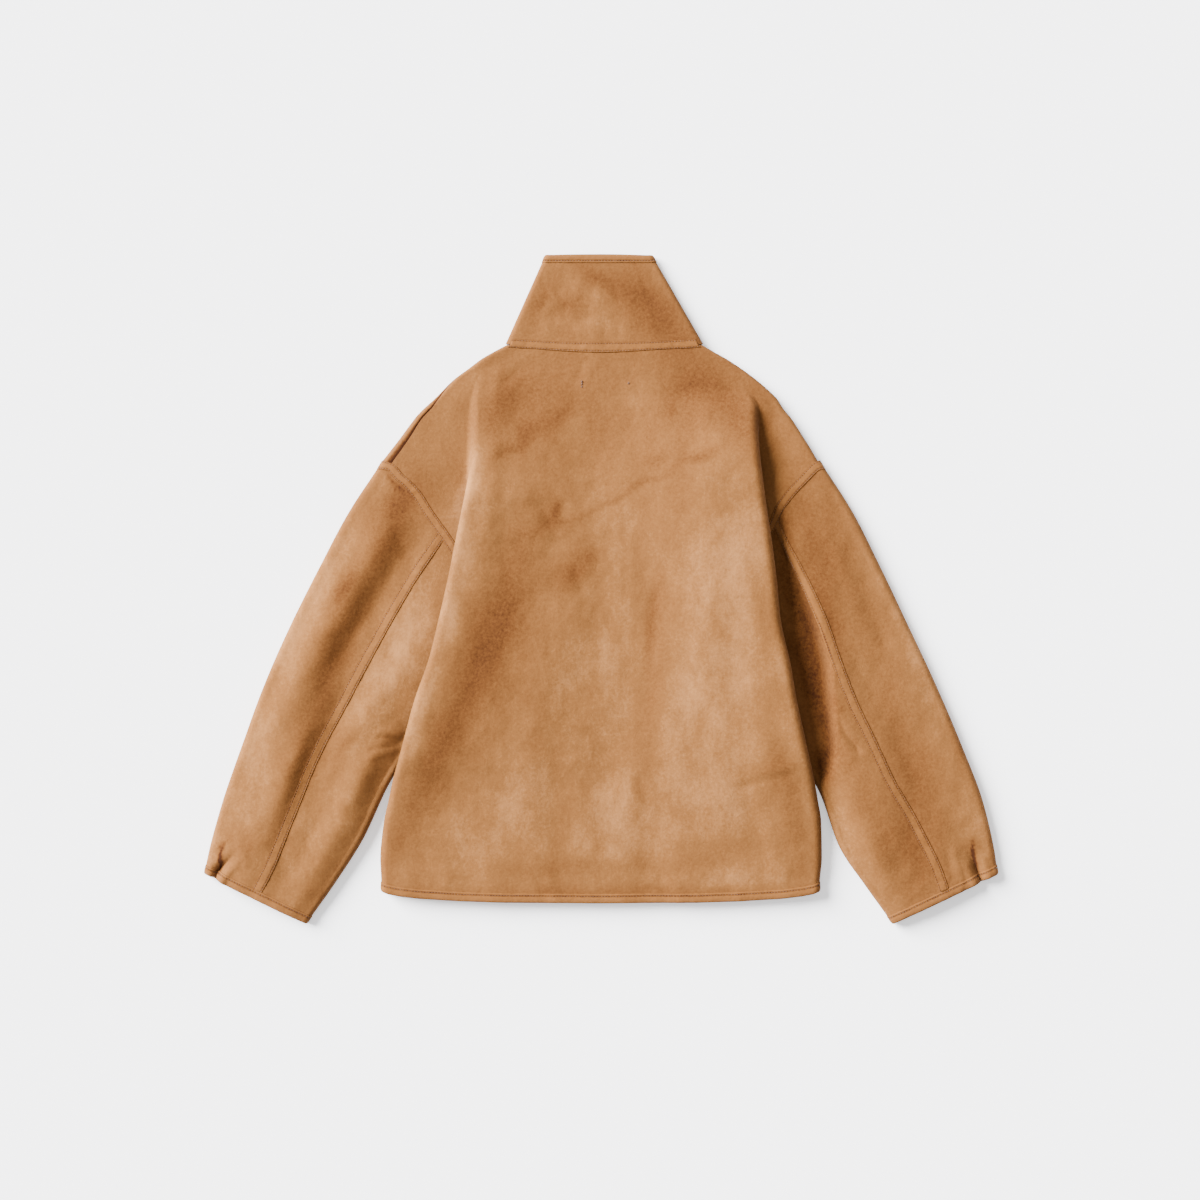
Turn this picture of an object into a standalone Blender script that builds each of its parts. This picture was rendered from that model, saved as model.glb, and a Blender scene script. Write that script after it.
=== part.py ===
"""A hip-length faux shearling coat lying flat on a surface, with its back upward.

World axes: X runs across the coat, Y from the hem up to the collar, Z up from the surface.
The cloth's sheets are grids of points half way through the cloth, worked out section by
section in millimetres, and each is then given its wall.
"""
import bmesh
import bpy
import numpy as np

MM = 0.001

# Cloth and trim, in millimetres.
CLOTH = 3.0
SEAM_GAP = 0.3
SHOULDER_GAP = 0.5
FLOOR = CLOTH / 2
TAPE_WIDTH = 11.0
TAPE_THICK = 1.0
BINDING_WIDTH = 10.0
BINDING_THICK = 4.2
BINDING_THICK_BELOW = 3.2

# Where the outline turns, as distances up the coat from its middle.
NECK_Y = 279.0
SHOULDER_TIP_Y = 142.0
ARMPIT_Y = -58.0
PANEL_END_Y = -349.0
COLLAR_TOP_Y = 384.5

# Neck and collar.
NECKLINE_HALF = 98.0
NECK_DROP = 97.0
COLLAR_TOP_LEFT = 67.0
COLLAR_TOP_RIGHT = 64.0
FRONT_EDGE = 0.6

# The shoulders: half outline, and how far the back wraps round the shoulder fold.
SHOULDER_HEIGHT = 12.5
SHOULDER_COLUMNS = ("y", "outline", "strip", "wrap")
SHOULDER_LEFT = (
    (142, 254.0, 6.5, 0),
    (172, 230.6, 4.5, 0),
    (195, 213.3, 2.0, 0),
    (206, 202.0, 0.8, 0),
    (218, 189.2, 0.5, 35),
    (241, 167.3, 0.0, 85),
    (252, 152.4, 0.0, 92),
    (264, 136.3, 0.0, 95),
    (271, 124.0, 0.0, 95),
    (279, 109.0, 0.0, 95),
)
SHOULDER_RIGHT = (
    (142, 255.5, 3.0, 95),
    (172, 234.5, 0.0, 95),
    (195, 219.8, 0.0, 95),
    (206, 210.6, 0.0, 95),
    (218, 203.0, 0.0, 95),
    (229, 191.8, 0.0, 95),
    (241, 177.5, 0.0, 95),
    (252, 162.6, 0.0, 95),
    (264, 144.2, 0.0, 95),
    (271, 131.5, 0.0, 95),
    (279, 118.0, 0.0, 95),
)

# The back's side folds. edge: outermost reach from the middle. top: height on the fold.
# roll, turn: radius and angle of the turn under. under: length going back in beneath.
# crease: radius of the turn outward again, above the armpit.
FOLD_COLUMNS = ("y", "edge", "top", "roll", "turn", "under", "crease")
FOLD_LEFT = (
    (-349, 251.3, 16.0, 6.6, 178, 20, 2.4),
    (-311, 252.4, 17.5, 7.0, 176, 20, 2.4),
    (-265, 247.8, 21.5, 7.0, 169, 22, 2.4),
    (-242, 242.5, 24.0, 6.8, 169, 25, 2.4),
    (-219, 237.5, 27.0, 6.6, 170, 29, 2.4),
    (-196, 231.0, 31.5, 6.5, 172, 36, 3.2),
    (-173, 224.8, 33.5, 6.5, 173, 46, 3.2),
    (-127, 212.2, 36.0, 6.5, 174, 72, 3.2),
    (-81, 196.1, 36.5, 6.5, 175, 92, 3.2),
    (-58, 190.0, 36.5, 6.5, 175, 104, 3.2),
    (-35, 184.6, 36.5, 6.5, 174, 88, 3.2),
    (11, 174.2, 36.5, 6.5, 172, 58, 3.2),
    (57, 165.0, 35.5, 6.5, 169, 30, 3.2),
    (80, 160.4, 34.5, 6.5, 163, 19, 3.2),
    (103, 155.8, 33.5, 6.5, 135, 9, 4.5),
    (126, 151.5, 30.0, 6.5, 100, 6, 6.0),
    (149, 147.8, 27.0, 6.5, 76, 5, 7.0),
    (172, 146.0, 24.0, 6.5, 62, 5, 8.0),
    (195, 144.5, 20.5, 6.5, 45, 5, 9.0),
    (218, 143.5, 17.0, 6.5, 26, 4, 9.0),
    (243, 138.0, 13.5, 6.5, 4, 3, 9.0),
    (262, 108.0, 12.0, 6.5, 1, 3, 9.0),
    (279, 78.0, 12.0, 6.5, 1, 3, 9.0),
)
FOLD_RIGHT = (
    (-349, 251.3, 16.0, 6.6, 178, 20, 2.4),
    (-311, 253.6, 18.5, 7.4, 176, 20, 2.4),
    (-265, 252.4, 24.0, 8.6, 172, 22, 2.4),
    (-242, 248.6, 27.5, 9.2, 171, 25, 2.4),
    (-219, 244.4, 31.0, 9.5, 171, 29, 2.4),
    (-196, 239.2, 35.0, 9.5, 173, 36, 3.2),
    (-173, 234.0, 37.0, 9.5, 174, 46, 3.2),
    (-127, 223.7, 39.0, 9.5, 175, 72, 3.2),
    (-81, 215.6, 39.5, 9.5, 176, 104, 3.2),
    (-58, 210.0, 39.5, 9.5, 176.5, 120, 3.2),
    (-35, 205.3, 39.5, 9.5, 176, 101, 3.2),
    (11, 200.7, 39.5, 9.5, 175, 76, 3.2),
    (57, 194.9, 39.0, 9.5, 172, 48, 3.2),
    (80, 191.5, 38.5, 9.5, 170, 37, 3.2),
    (103, 188.0, 38.0, 9.5, 166, 27, 3.4),
    (126, 185.0, 38.5, 9.5, 154, 16, 4.0),
    (149, 182.3, 37.0, 9.5, 118, 7, 6.0),
    (172, 180.5, 32.5, 9.5, 88, 6, 8.0),
    (195, 179.0, 25.5, 9.5, 64, 6, 8.0),
    (206, 178.0, 22.0, 9.0, 48, 5, 7.0),
    (218, 174.0, 17.0, 8.0, 26, 4, 6.0),
    (230, 163.0, 14.0, 6.5, 4, 3, 5.0),
    (243, 146.0, 13.0, 6.5, 1, 3, 5.0),
    (262, 113.0, 12.0, 6.5, 1, 3, 5.0),
    (279, 80.0, 12.0, 6.5, 1, 3, 5.0),
)

# Height of the back along its middle.
MIDDLE_COLUMNS = ("y", "height")
MIDDLE = (
    (-349, 15.0),
    (-311, 17.5),
    (-196, 22.0),
    (-58, 25.0),
    (57, 23.5),
    (149, 19.5),
    (195, 16.5),
    (243, 14.0),
    (279, 13.0),
)

# Armhole seams from the shoulder tip to the armpit: distance out, distance up, height.
ARMHOLE_LEFT = (
    (241.2, 142.0, 12.5),
    (235.2, 133.5, 12.8),
    (221.4, 121.3, 13.0),
    (209.9, 107.5, 13.5),
    (200.7, 92.6, 13.5),
    (189.2, 76.5, 13.0),
    (177.7, 60.4, 12.0),
    (166.2, 43.1, 11.0),
    (150.0, 22.4, 10.0),
    (115.6, -16.7, 9.0),
    (81.8, -58.0, 8.2),
)
ARMHOLE_RIGHT = (
    (248.0, 142.0, 12.5),
    (238.6, 132.5, 12.6),
    (226.0, 119.5, 12.5),
    (215.6, 107.5, 12.5),
    (207.6, 96.0, 12.0),
    (200.7, 81.1, 11.0),
    (193.0, 66.0, 9.5),
    (176.0, 45.0, 8.5),
    (154.0, 20.0, 8.0),
    (118.0, -18.0, 7.6),
    (82.8, -58.0, 7.0),
)

# Sleeves: the flat outline at stations from armhole to cuff, and where the back seam runs.
STATION_COLUMNS = ("along", "outer_x", "outer_y", "inner_x", "inner_y", "seam")
STATIONS_LEFT = (
    (0.000, 254.0, 142.0, 82.0, -59.0, 0.404),
    (0.125, 286.8, 91.4, 118.0, -90.3, 0.400),
    (0.250, 322.6, 24.7, 149.0, -121.3, 0.430),
    (0.375, 355.9, -42.0, 181.1, -152.4, 0.460),
    (0.500, 385.8, -109.8, 214.5, -181.1, 0.485),
    (0.625, 411.1, -178.8, 242.1, -222.5, 0.475),
    (0.750, 433.0, -242.1, 272.0, -285.8, 0.475),
    (0.875, 447.9, -295.0, 304.2, -336.4, 0.488),
    (1.000, 454.8, -326.0, 337.5, -383.5, 0.490),
)
STATIONS_RIGHT = (
    (0.000, 255.5, 142.0, 83.0, -59.0, 0.312),
    (0.125, 287.4, 91.4, 119.0, -90.3, 0.364),
    (0.250, 321.6, 24.7, 151.0, -121.3, 0.404),
    (0.375, 353.3, -42.0, 182.3, -152.4, 0.468),
    (0.500, 385.0, -109.8, 217.9, -182.3, 0.532),
    (0.625, 414.3, -178.8, 250.1, -230.6, 0.550),
    (0.750, 438.3, -242.1, 274.3, -296.1, 0.486),
    (0.875, 451.0, -295.0, 303.0, -338.7, 0.465),
    (1.000, 456.0, -326.0, 335.2, -383.5, 0.490),
)

# Height of a sleeve's upper layer: a row for each station, a column for each part of its width.
HEIGHT_ACROSS = (0.05, 0.20, 0.35, 0.50, 0.65, 0.80, 0.95)
HEIGHTS_LEFT = (
    (0.000, 12.0, 13.5, 13.5, 12.5, 11.0, 9.0, 8.0),
    (0.125, 14.0, 19.0, 13.0, 14.0, 15.0, 11.0, 7.0),
    (0.250, 15.0, 22.0, 13.0, 15.0, 17.5, 13.0, 7.0),
    (0.500, 16.0, 23.0, 20.0, 15.0, 20.0, 18.0, 8.0),
    (0.625, 16.0, 21.0, 24.0, 16.0, 18.0, 22.0, 12.0),
    (0.750, 15.5, 20.0, 23.0, 17.0, 16.5, 20.0, 13.0),
    (0.875, 14.0, 18.5, 20.0, 18.0, 15.5, 17.0, 12.0),
    (1.000, 13.0, 16.0, 17.5, 17.0, 15.5, 15.0, 11.0),
)
HEIGHTS_RIGHT = (
    (0.000, 12.0, 12.5, 11.5, 8.5, 8.0, 8.0, 8.0),
    (0.125, 13.0, 16.0, 17.5, 8.5, 7.0, 6.5, 6.5),
    (0.250, 14.0, 17.0, 22.0, 15.0, 7.0, 6.5, 6.5),
    (0.375, 14.5, 18.0, 22.0, 24.0, 9.0, 7.0, 6.5),
    (0.500, 15.0, 18.0, 20.0, 24.0, 25.0, 8.0, 6.5),
    (0.625, 15.0, 18.0, 19.0, 22.0, 25.0, 21.0, 8.0),
    (0.750, 15.0, 17.0, 19.0, 21.0, 24.0, 24.0, 14.0),
    (0.875, 14.0, 16.0, 18.0, 19.0, 20.0, 20.0, 14.0),
    (1.000, 12.0, 15.0, 16.5, 17.0, 17.0, 16.0, 12.0),
)

# Cuff pleats: where across the sleeve, how deep, how wide, and how far up from the cuff.
PLEAT_DEPTH = 5.0
PLEAT_HALF_WIDTH = 0.045
PLEAT_REACH = 0.16
PLEAT_LEFT = 0.13
PLEAT_RIGHT = 0.17

# Soft folds across the back, ridges up and troughs down, along straight lines.
WAVE_COLUMNS = ("x0", "y0", "x1", "y1", "height", "width")
BACK_WAVES = (
    (-105, 70, -205, -300, -2.6, 26),
    (-35, 10, -95, -290, 2.2, 30),
    (62, 20, 12, -210, -2.0, 26),
    (125, 120, 120, -80, 2.2, 30),
    (-100, 215, -125, 110, -1.8, 22),
    (70, -180, 50, -340, -1.6, 24),
    (165, -170, 195, -340, -1.8, 20),
)

# Rows of the body's sheets, from the neck down, and steps across each stretch.
SHOULDER_ROWS = (279, 271, 262, 252, 241, 229, 218, 206, 195, 187, 183.5, 172, 157, 142)
ARMHOLE_ROWS = (131, 117, 100, 81, 66, 45, 22, -4, -31, -58)
SIDE_ROWS = (-81, -110, -140, -170, -200, -235, -270, -310, -349)
TOP_STEPS = 8
ROLL_STEPS = 5
UNDER_STEPS = 3
CREASE_STEPS = 4
LOWER_STEPS = 4
WRAP_STEPS = 2
FRONT_STEPS = 7
FOLD_STEPS = 4
SLEEVE_ROWS = (0, 0.006, 0.045, 0.1, 0.18, 0.27, 0.37, 0.47, 0.57, 0.67, 0.77, 0.86, 0.93)

# Rolls of the folded cloth, and distances over which one form settles into the next.
SHOULDER_ROLL = (SHOULDER_HEIGHT - FLOOR) / 2
OUTER_ROLL = 7.0
INNER_ROLL = 5.5
PRESSED_ROLL = 2.2
ARMPIT_CLEAR = 6.5
SEAM_STEP = 0.6
LEAST_STEP = 0.4
LEAST_BEND = 1.5
LEAST_STRIP = 1.0
SEAM_FALL = 55.0
RING_FADE = 0.25
NECK_BOW = 3.0
NECK_BOW_FADE = 60.0
COLLAR_BINDING = 9.0
COLLAR_TOP_ROLL = 4.2
COLLAR_FRONT_Y = 268.0
COLLAR_STEPS = 3
COLLAR_TILT_GAP = 1.7
NECK_TAPE_INSET = 3
SEAM_POINT = 2
SLEEVE_TAPE_START = 0.35
ARMHOLE_TAPE_END = SHOULDER_ROWS.index(142) + 1 + ARMHOLE_ROWS.index(22)
UNDER_SEAM_COLUMN = 5
SEAM_ROW_LEFT = SHOULDER_ROWS.index(142) + 1 + ARMHOLE_ROWS.index(66)
SEAM_ROW_RIGHT = SHOULDER_ROWS.index(142) + 1 + ARMHOLE_ROWS.index(81)
BODY_ROWS = np.array(SHOULDER_ROWS + ARMHOLE_ROWS + SIDE_ROWS, dtype=float)
TIP_ROW = len(SHOULDER_ROWS) - 1
ARMPIT_ROW = len(SHOULDER_ROWS) + len(ARMHOLE_ROWS) - 1

SUEDE = (0.50, 0.27, 0.13)
TRIM = (0.58, 0.30, 0.15)


def smoothstep(t):
    """Rise from 0 to 1 with level ends."""
    t = np.clip(t, 0.0, 1.0)
    return t * t * (3 - 2 * t)


def curve(x, knots, values):
    """Smooth curve through the knots: cubics whose slopes at a knot are harmonic means."""
    knots = np.asarray(knots, dtype=float)
    values = np.asarray(values, dtype=float)
    widths = np.diff(knots)
    slopes = np.diff(values) / widths
    before, after = slopes[:-1], slopes[1:]
    same_way = before * after > 0
    total = np.where(same_way, before + after, 1.0)
    inner = np.where(same_way, 2 * before * after / total, 0.0)
    tangents = np.concatenate((slopes[:1], inner, slopes[-1:]))
    k = np.clip(np.searchsorted(knots, x) - 1, 0, len(widths) - 1)
    w = widths[k]
    t = np.clip((x - knots[k]) / w, 0.0, 1.0)
    start = (1 + 2 * t) * (1 - t) ** 2 * values[k] + t * (1 - t) ** 2 * w * tangents[k]
    end = t * t * (3 - 2 * t) * values[k + 1] + t * t * (t - 1) * w * tangents[k + 1]
    return start + end


def read(rows, names, y):
    """Values of a table's named columns at y, as smooth curves through its rows."""
    table = np.array(sorted(rows), dtype=float)
    return {name: curve(y, table[:, 0], table[:, k]) for k, name in enumerate(names)}


def armhole_at(rows, y):
    """Distance from the middle and height of an armhole seam at the rows y."""
    table = np.array(sorted(rows, key=lambda row: row[1]), dtype=float)
    return curve(y, table[:, 1], table[:, 0]), curve(y, table[:, 1], table[:, 2])


def waves_at(x, y):
    """Sum of the back's soft folds at the points x, y: a bell across each line, fading at its ends."""
    total = np.zeros_like(x)
    for row in BACK_WAVES:
        wave = dict(zip(WAVE_COLUMNS, row))
        run = np.array((wave["x1"] - wave["x0"], wave["y1"] - wave["y0"]), dtype=float)
        length = np.hypot(*run)
        along = ((x - wave["x0"]) * run[0] + (y - wave["y0"]) * run[1]) / length
        across = ((x - wave["x0"]) * run[1] - (y - wave["y0"]) * run[0]) / length
        beyond = np.maximum(np.maximum(-along, along - length), 0.0)
        total += wave["height"] * np.exp(-(across**2 + beyond**2) / wave["width"] ** 2)
    return total


def walk(start, headings, step):
    """Points of a path walked from start in steps (one row of headings for each section)."""
    out = start[0][:, None] + np.cumsum(np.cos(headings) * step[:, None], axis=1)
    up = start[1][:, None] + np.cumsum(np.sin(headings) * step[:, None], axis=1)
    return out, up


def turning(first, last, steps):
    """Headings at the middle of each step of a turn from first to last."""
    middle = (np.arange(steps) + 0.5) / steps
    return first[:, None] + (last - first)[:, None] * middle[None, :]


class BodySide:
    """One side of the body: its tables, and its sections at the body's rows."""

    def __init__(self, name, sign, fold, shoulder, armhole, collar_top):
        self.name = name
        self.sign = sign
        self.y = BODY_ROWS
        self.fold = read(fold, FOLD_COLUMNS, self.y)
        self.shoulder = read(shoulder, SHOULDER_COLUMNS, np.maximum(self.y, SHOULDER_TIP_Y))
        self.armhole = armhole
        self.collar_top = collar_top
        self.wrap = np.radians(self.shoulder["wrap"])
        level_part = (2 * SEAM_STEP + SHOULDER_GAP + LEAST_STEP) * np.sin(self.wrap)
        self.roll = SHOULDER_ROLL - level_part / 2
        self.seam_out, self.seam_up = self.outer_seam()

    def outer_seam(self):
        """The back's outer end on its lower layer: shoulder seam, then armhole."""
        shoulder_out = self.shoulder["outline"] - CLOTH / 2 - self.roll - self.shoulder["strip"]
        armhole_out, armhole_up = armhole_at(self.armhole, np.minimum(self.y, SHOULDER_TIP_Y))
        on_shoulder = self.y >= SHOULDER_TIP_Y
        out = np.where(on_shoulder, shoulder_out, armhole_out)
        return out, np.where(on_shoulder, SHOULDER_HEIGHT, armhole_up)

    def back_half(self):
        """Sections of the back from the middle outwards: distance out and height."""
        turn = np.radians(self.fold["turn"])
        roll_arc = np.maximum(self.fold["roll"] * turn, 3.0)
        reach = roll_arc * np.sin(np.minimum(turn, np.pi / 2)) / turn
        fold_start = self.fold["edge"] - CLOTH / 2 - reach
        part = np.linspace(0, 1, TOP_STEPS + 1)[None, :]
        out = fold_start[:, None] * part
        middle = read(MIDDLE, MIDDLE_COLUMNS, self.y)["height"][:, None]
        up = middle + (self.fold["top"][:, None] - middle) * smoothstep(part)
        up += waves_at(self.sign * out, self.y[:, None] + 0 * out) * (1 - smoothstep(part) ** 4)
        level = np.zeros_like(turn)
        outs, ups = [out], [up]
        stretches = (
            (level, -turn, roll_arc, ROLL_STEPS),
            (-turn, -turn, self.fold["under"], UNDER_STEPS),
            (-turn, level, np.maximum(self.fold["crease"] * turn, 3.0), CREASE_STEPS),
        )
        for first, last, length, steps in stretches:
            start = outs[-1][:, -1], ups[-1][:, -1]
            out, up = walk(start, turning(first, last, steps), length / steps)
            outs.append(out)
            ups.append(up)
        part = (np.arange(LOWER_STEPS) + 1)[None, :] / LOWER_STEPS
        last_out, last_up = outs[-1][:, -1:], ups[-1][:, -1:]
        seam_out = self.seam_out - 2 * SEAM_GAP * (self.y < SHOULDER_TIP_Y)
        outs.append(last_out + (seam_out[:, None] - last_out) * part)
        ups.append(last_up + (self.seam_up[:, None] - last_up) * smoothstep(part))
        arc = self.roll * np.maximum(self.wrap, 0.05)
        start = outs[-1][:, -1], ups[-1][:, -1]
        out, up = walk(start, turning(level, -self.wrap, WRAP_STEPS), arc / WRAP_STEPS)
        outs.append(out)
        ups.append(up)
        start = out[:, -1], up[:, -1]
        out, up = walk(start, -self.wrap[:, None], np.full_like(level, SEAM_STEP))
        outs.append(out)
        ups.append(up)
        return np.hstack(outs), np.hstack(ups)

    def front_half(self, back_out, back_up):
        """Sections of a front from its outer seam in to the front edge."""
        back_end = TOP_STEPS + ROLL_STEPS + UNDER_STEPS
        shoulder = self.shoulder["outline"] - CLOTH / 2 - SHOULDER_ROLL
        start_out = back_out[:, -1] + SHOULDER_GAP * np.cos(self.wrap)
        start_up = back_up[:, -1] - SHOULDER_GAP * np.sin(self.wrap)
        next_out, next_up = walk((start_out, start_up), -self.wrap[:, None], 0 * self.wrap + SEAM_STEP)
        flat = np.where(self.wrap > 0.01, LEAST_STEP, shoulder - next_out[:, 0])
        flat = np.maximum(flat, LEAST_STEP)
        strip_out, strip_up = walk((next_out[:, 0], next_up[:, 0]), -self.wrap[:, None], flat)
        arc = self.roll * (np.pi - self.wrap)
        headings = turning(-self.wrap, np.full_like(self.wrap, -np.pi), FOLD_STEPS)
        turn_out, turn_up = walk((strip_out[:, 0], strip_up[:, 0]), headings, arc / FOLD_STEPS)
        inner = front_edge_at(self.y)
        rows = np.arange(len(self.y))
        below_strip = np.maximum(self.shoulder["strip"], LEAST_STRIP)
        outer = np.where(rows <= TIP_ROW, turn_out[:, -1] - below_strip, self.seam_out - 2 * SEAM_GAP)
        outer = np.where(rows >= ARMPIT_ROW, back_out[:, back_end] - SEAM_GAP, outer)
        outer_up = np.where(rows > ARMPIT_ROW, back_up[:, back_end], FLOOR)
        part = np.linspace(0, 1, FRONT_STEPS + 1)[None, :] ** 1.3
        floor_out = outer[:, None] + (inner - outer)[:, None] * part
        fall = 1 - smoothstep((outer[:, None] - floor_out) / SEAM_FALL)
        floor_up = FLOOR + (outer_up - FLOOR)[:, None] * fall
        turn_up = np.maximum(turn_up, FLOOR)
        turn_up[:, -1] = FLOOR
        out = np.hstack((start_out[:, None], next_out, strip_out, turn_out, floor_out))
        up = np.hstack((start_up[:, None], next_up, strip_up, turn_up, floor_up))
        return out, up


def front_edge_at(y):
    """Inner end of a front panel: the neckline's quarter ellipse, then the front edge's binding."""
    part = np.clip((NECK_Y - y) / NECK_DROP, 0, 1)
    neckline = NECKLINE_HALF * np.sqrt(1 - part**2) + SEAM_GAP
    return np.maximum(neckline, FRONT_EDGE + BINDING_WIDTH + SEAM_GAP)


class SleeveSide:
    """One sleeve as a flattened tube: rows of closed sections from armhole to cuff."""

    def __init__(self, side, stations, heights, seam_row, pleat):
        self.side = side
        self.stations = stations
        self.heights = heights
        self.seam_column = seam_row - TIP_ROW + 1
        self.pleat = pleat
        self.rows = np.array(SLEEVE_ROWS + (1.0,))

    def height_at(self, along, across):
        """Height of the upper layer at one station row, for an array of places across it."""
        names = ("along",) + tuple(range(len(HEIGHT_ACROSS)))
        row = read(self.heights, names, np.array([along]))
        values = [row[k][0] for k in range(len(HEIGHT_ACROSS))]
        height = curve(across, HEIGHT_ACROSS, values)
        near_cuff = smoothstep((along - 1 + PLEAT_REACH) / PLEAT_REACH)
        trough = np.exp(-(((across - self.pleat) / PLEAT_HALF_WIDTH) ** 2))
        return height - PLEAT_DEPTH * near_cuff * trough

    def ring(self):
        """The armhole seam as the sleeve sees it: out, y and height at the body's rows."""
        side = self.side
        pick = slice(TIP_ROW, ARMPIT_ROW + 1)
        shoulder = side.shoulder["outline"][TIP_ROW] - CLOTH / 2 - side.roll[TIP_ROW]
        out = np.concatenate(([shoulder], side.seam_out[pick]))
        y = np.concatenate(([SHOULDER_TIP_Y], side.y[pick])) - 2 * SEAM_GAP
        up = np.concatenate(([SHOULDER_HEIGHT], side.seam_up[pick]))
        out[-1], y[-1] = out[-1] + ARMPIT_CLEAR, y[-1] - ARMPIT_CLEAR / 2
        return out, y, up

    def spread(self, base, along):
        """Places across the sleeve of its columns: the seam's column follows the seam."""
        width = self.width(along)
        low = (CLOTH / 2 + self.outer_roll(along)) / width
        high = 1 - (CLOTH / 2 + self.inner_roll(along)) / width
        seam = read(self.stations, STATION_COLUMNS, np.array([along]))["seam"][0]
        s = self.seam_column
        outer = low + (base[: s + 1] - base[0]) * (seam - low) / (base[s] - base[0])
        inner = seam + (base[s + 1 :] - base[s]) * (high - seam) / (base[-1] - base[s])
        return np.concatenate((outer, inner))

    def outer_roll(self, along):
        """How far the outer fold's roll reaches sideways."""
        start = self.side.roll[TIP_ROW]
        return start + (OUTER_ROLL - start) * smoothstep(along / 0.2)

    def inner_roll(self, along):
        """How far the inner fold's roll reaches sideways: pressed flat under the body."""
        return PRESSED_ROLL + (INNER_ROLL - PRESSED_ROLL) * smoothstep((along - 0.4) / 0.3)

    def line(self, along):
        """Outer and inner ends of the station line, in plan."""
        row = read(self.stations, STATION_COLUMNS, np.array([along]))
        outer = np.array((row["outer_x"][0], row["outer_y"][0]))
        return outer, np.array((row["inner_x"][0], row["inner_y"][0]))

    def width(self, along):
        """Flat width of the sleeve at a station."""
        outer, inner = self.line(along)
        return np.hypot(*(inner - outer))

    def grid(self):
        """Rows of points round the sleeve: upper layer, inner fold, under layer, outer fold."""
        ring_out, ring_y, ring_up = self.ring()
        ring = np.stack((ring_out, ring_y), axis=1)
        steps = np.hypot(*np.diff(ring, axis=0).T)
        total = self.width(0)
        ring_part = np.concatenate(([0], np.cumsum(steps))) / steps.sum()
        low = (CLOTH / 2 + self.outer_roll(0)) / total
        even = np.linspace(0, 1, len(ring_part))
        base = low + (1 - 2 * low) * (ring_part + even) / 2
        plans, heights = [], []
        for along in self.rows:
            across = self.spread(base, along)
            outer, inner = self.line(along)
            plan = outer + (inner - outer) * across[:, None]
            first_outer, first_inner = self.line(0)
            shift = ring - (first_outer + (first_inner - first_outer) * self.spread(base, 0)[:, None])
            plans.append(plan + shift * (1 - smoothstep(along / RING_FADE)))
            settled = smoothstep(along / 0.1)
            height = self.height_at(along, across)
            heights.append(ring_up + (height - ring_up) * settled)
        plans, heights = np.array(plans), np.array(heights)
        last = plans[-1] - plans[-2]
        back_off = BINDING_WIDTH + SEAM_GAP
        plans[-1] -= last / np.linalg.norm(last, axis=1)[:, None] * back_off
        return self.close(plans, heights)

    def close(self, plans, heights):
        """Join the upper layer to the under layer on the surface with a half-ellipse at each side."""
        upper = np.dstack((plans, heights))
        under = np.dstack((plans, np.full_like(heights, FLOOR)))[:, ::-1]
        angles = np.pi * np.arange(1, FOLD_STEPS) / FOLD_STEPS
        rolls = (
            (upper[:, -1], plans[:, -1] - plans[:, -2], [self.inner_roll(a) for a in self.rows]),
            (upper[:, 0], plans[:, 0] - plans[:, 1], [self.outer_roll(a) for a in self.rows]),
        )
        turns = []
        for start, way, reach in rolls:
            way = way / np.linalg.norm(way, axis=1)[:, None]
            half = (start[:, 2] - FLOOR) / 2
            flat = start[:, None, :2] + way[:, None, :] * np.sin(angles)[None, :, None] * (
                np.array(reach)[:, None, None]
            )
            up = FLOOR + half[:, None] * (1 + np.cos(angles)[None, :])
            turns.append(np.dstack((flat, up)))
        return np.concatenate((upper, turns[0], under, turns[1][:, ::-1]), axis=1)


def place(grid, sign):
    """Turn (out, y, up) into (x, y, z) on one side of the coat."""
    return grid * np.array((sign, 1.0, 1.0))


def make_object(name, vertices, faces, colour, roughness=0.85):
    """A mesh object from points in millimetres, with its own plain material."""
    mesh = bpy.data.meshes.new(name)
    mesh.from_pydata((np.asarray(vertices) * MM).tolist(), [], faces)
    mesh.validate()
    obj = bpy.data.objects.new(name, mesh)
    bpy.context.scene.collection.objects.link(obj)
    material = bpy.data.materials.new(name)
    material.use_nodes = True
    shader = material.node_tree.nodes["Principled BSDF"]
    shader.inputs["Base Color"].default_value = (*colour, 1.0)
    shader.inputs["Roughness"].default_value = roughness
    shader.inputs["Metallic"].default_value = 0.0
    mesh.materials.append(material)
    mesh.shade_smooth()
    return obj


def sheet(name, grid, colour, thickness=CLOTH, keep=None):
    """A sheet of cloth: a grid of points half way through it, given its wall on both sides."""
    rows, columns = grid.shape[:2]
    if keep is None:
        keep = np.ones((rows - 1, columns - 1), dtype=bool)
    index = np.arange(rows * columns).reshape(rows, columns)
    corners = np.stack((index[:-1, :-1], index[1:, :-1], index[1:, 1:], index[:-1, 1:]), axis=-1)
    faces = corners[keep]
    used, compact = np.unique(faces, return_inverse=True)
    faces = compact.reshape(faces.shape)
    obj = make_object(name, grid.reshape(-1, 3)[used], faces.tolist(), colour)
    solidify = obj.modifiers.new("Wall", "SOLIDIFY")
    solidify.thickness = thickness * MM
    solidify.offset = 0.0
    solidify.use_even_offset = False
    return obj


def unit(vectors):
    """Vectors of length 1."""
    return vectors / np.linalg.norm(vectors, axis=-1, keepdims=True)


def bending(edge):
    """Places along an edge where it bends, and its ends."""
    along = unit(np.diff(edge, axis=0))
    bend = np.degrees(np.arccos(np.clip(np.sum(along[1:] * along[:-1], axis=1), -1, 1)))
    kept = np.concatenate(([True], bend > LEAST_BEND, [True]))
    return np.flatnonzero(kept)


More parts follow.
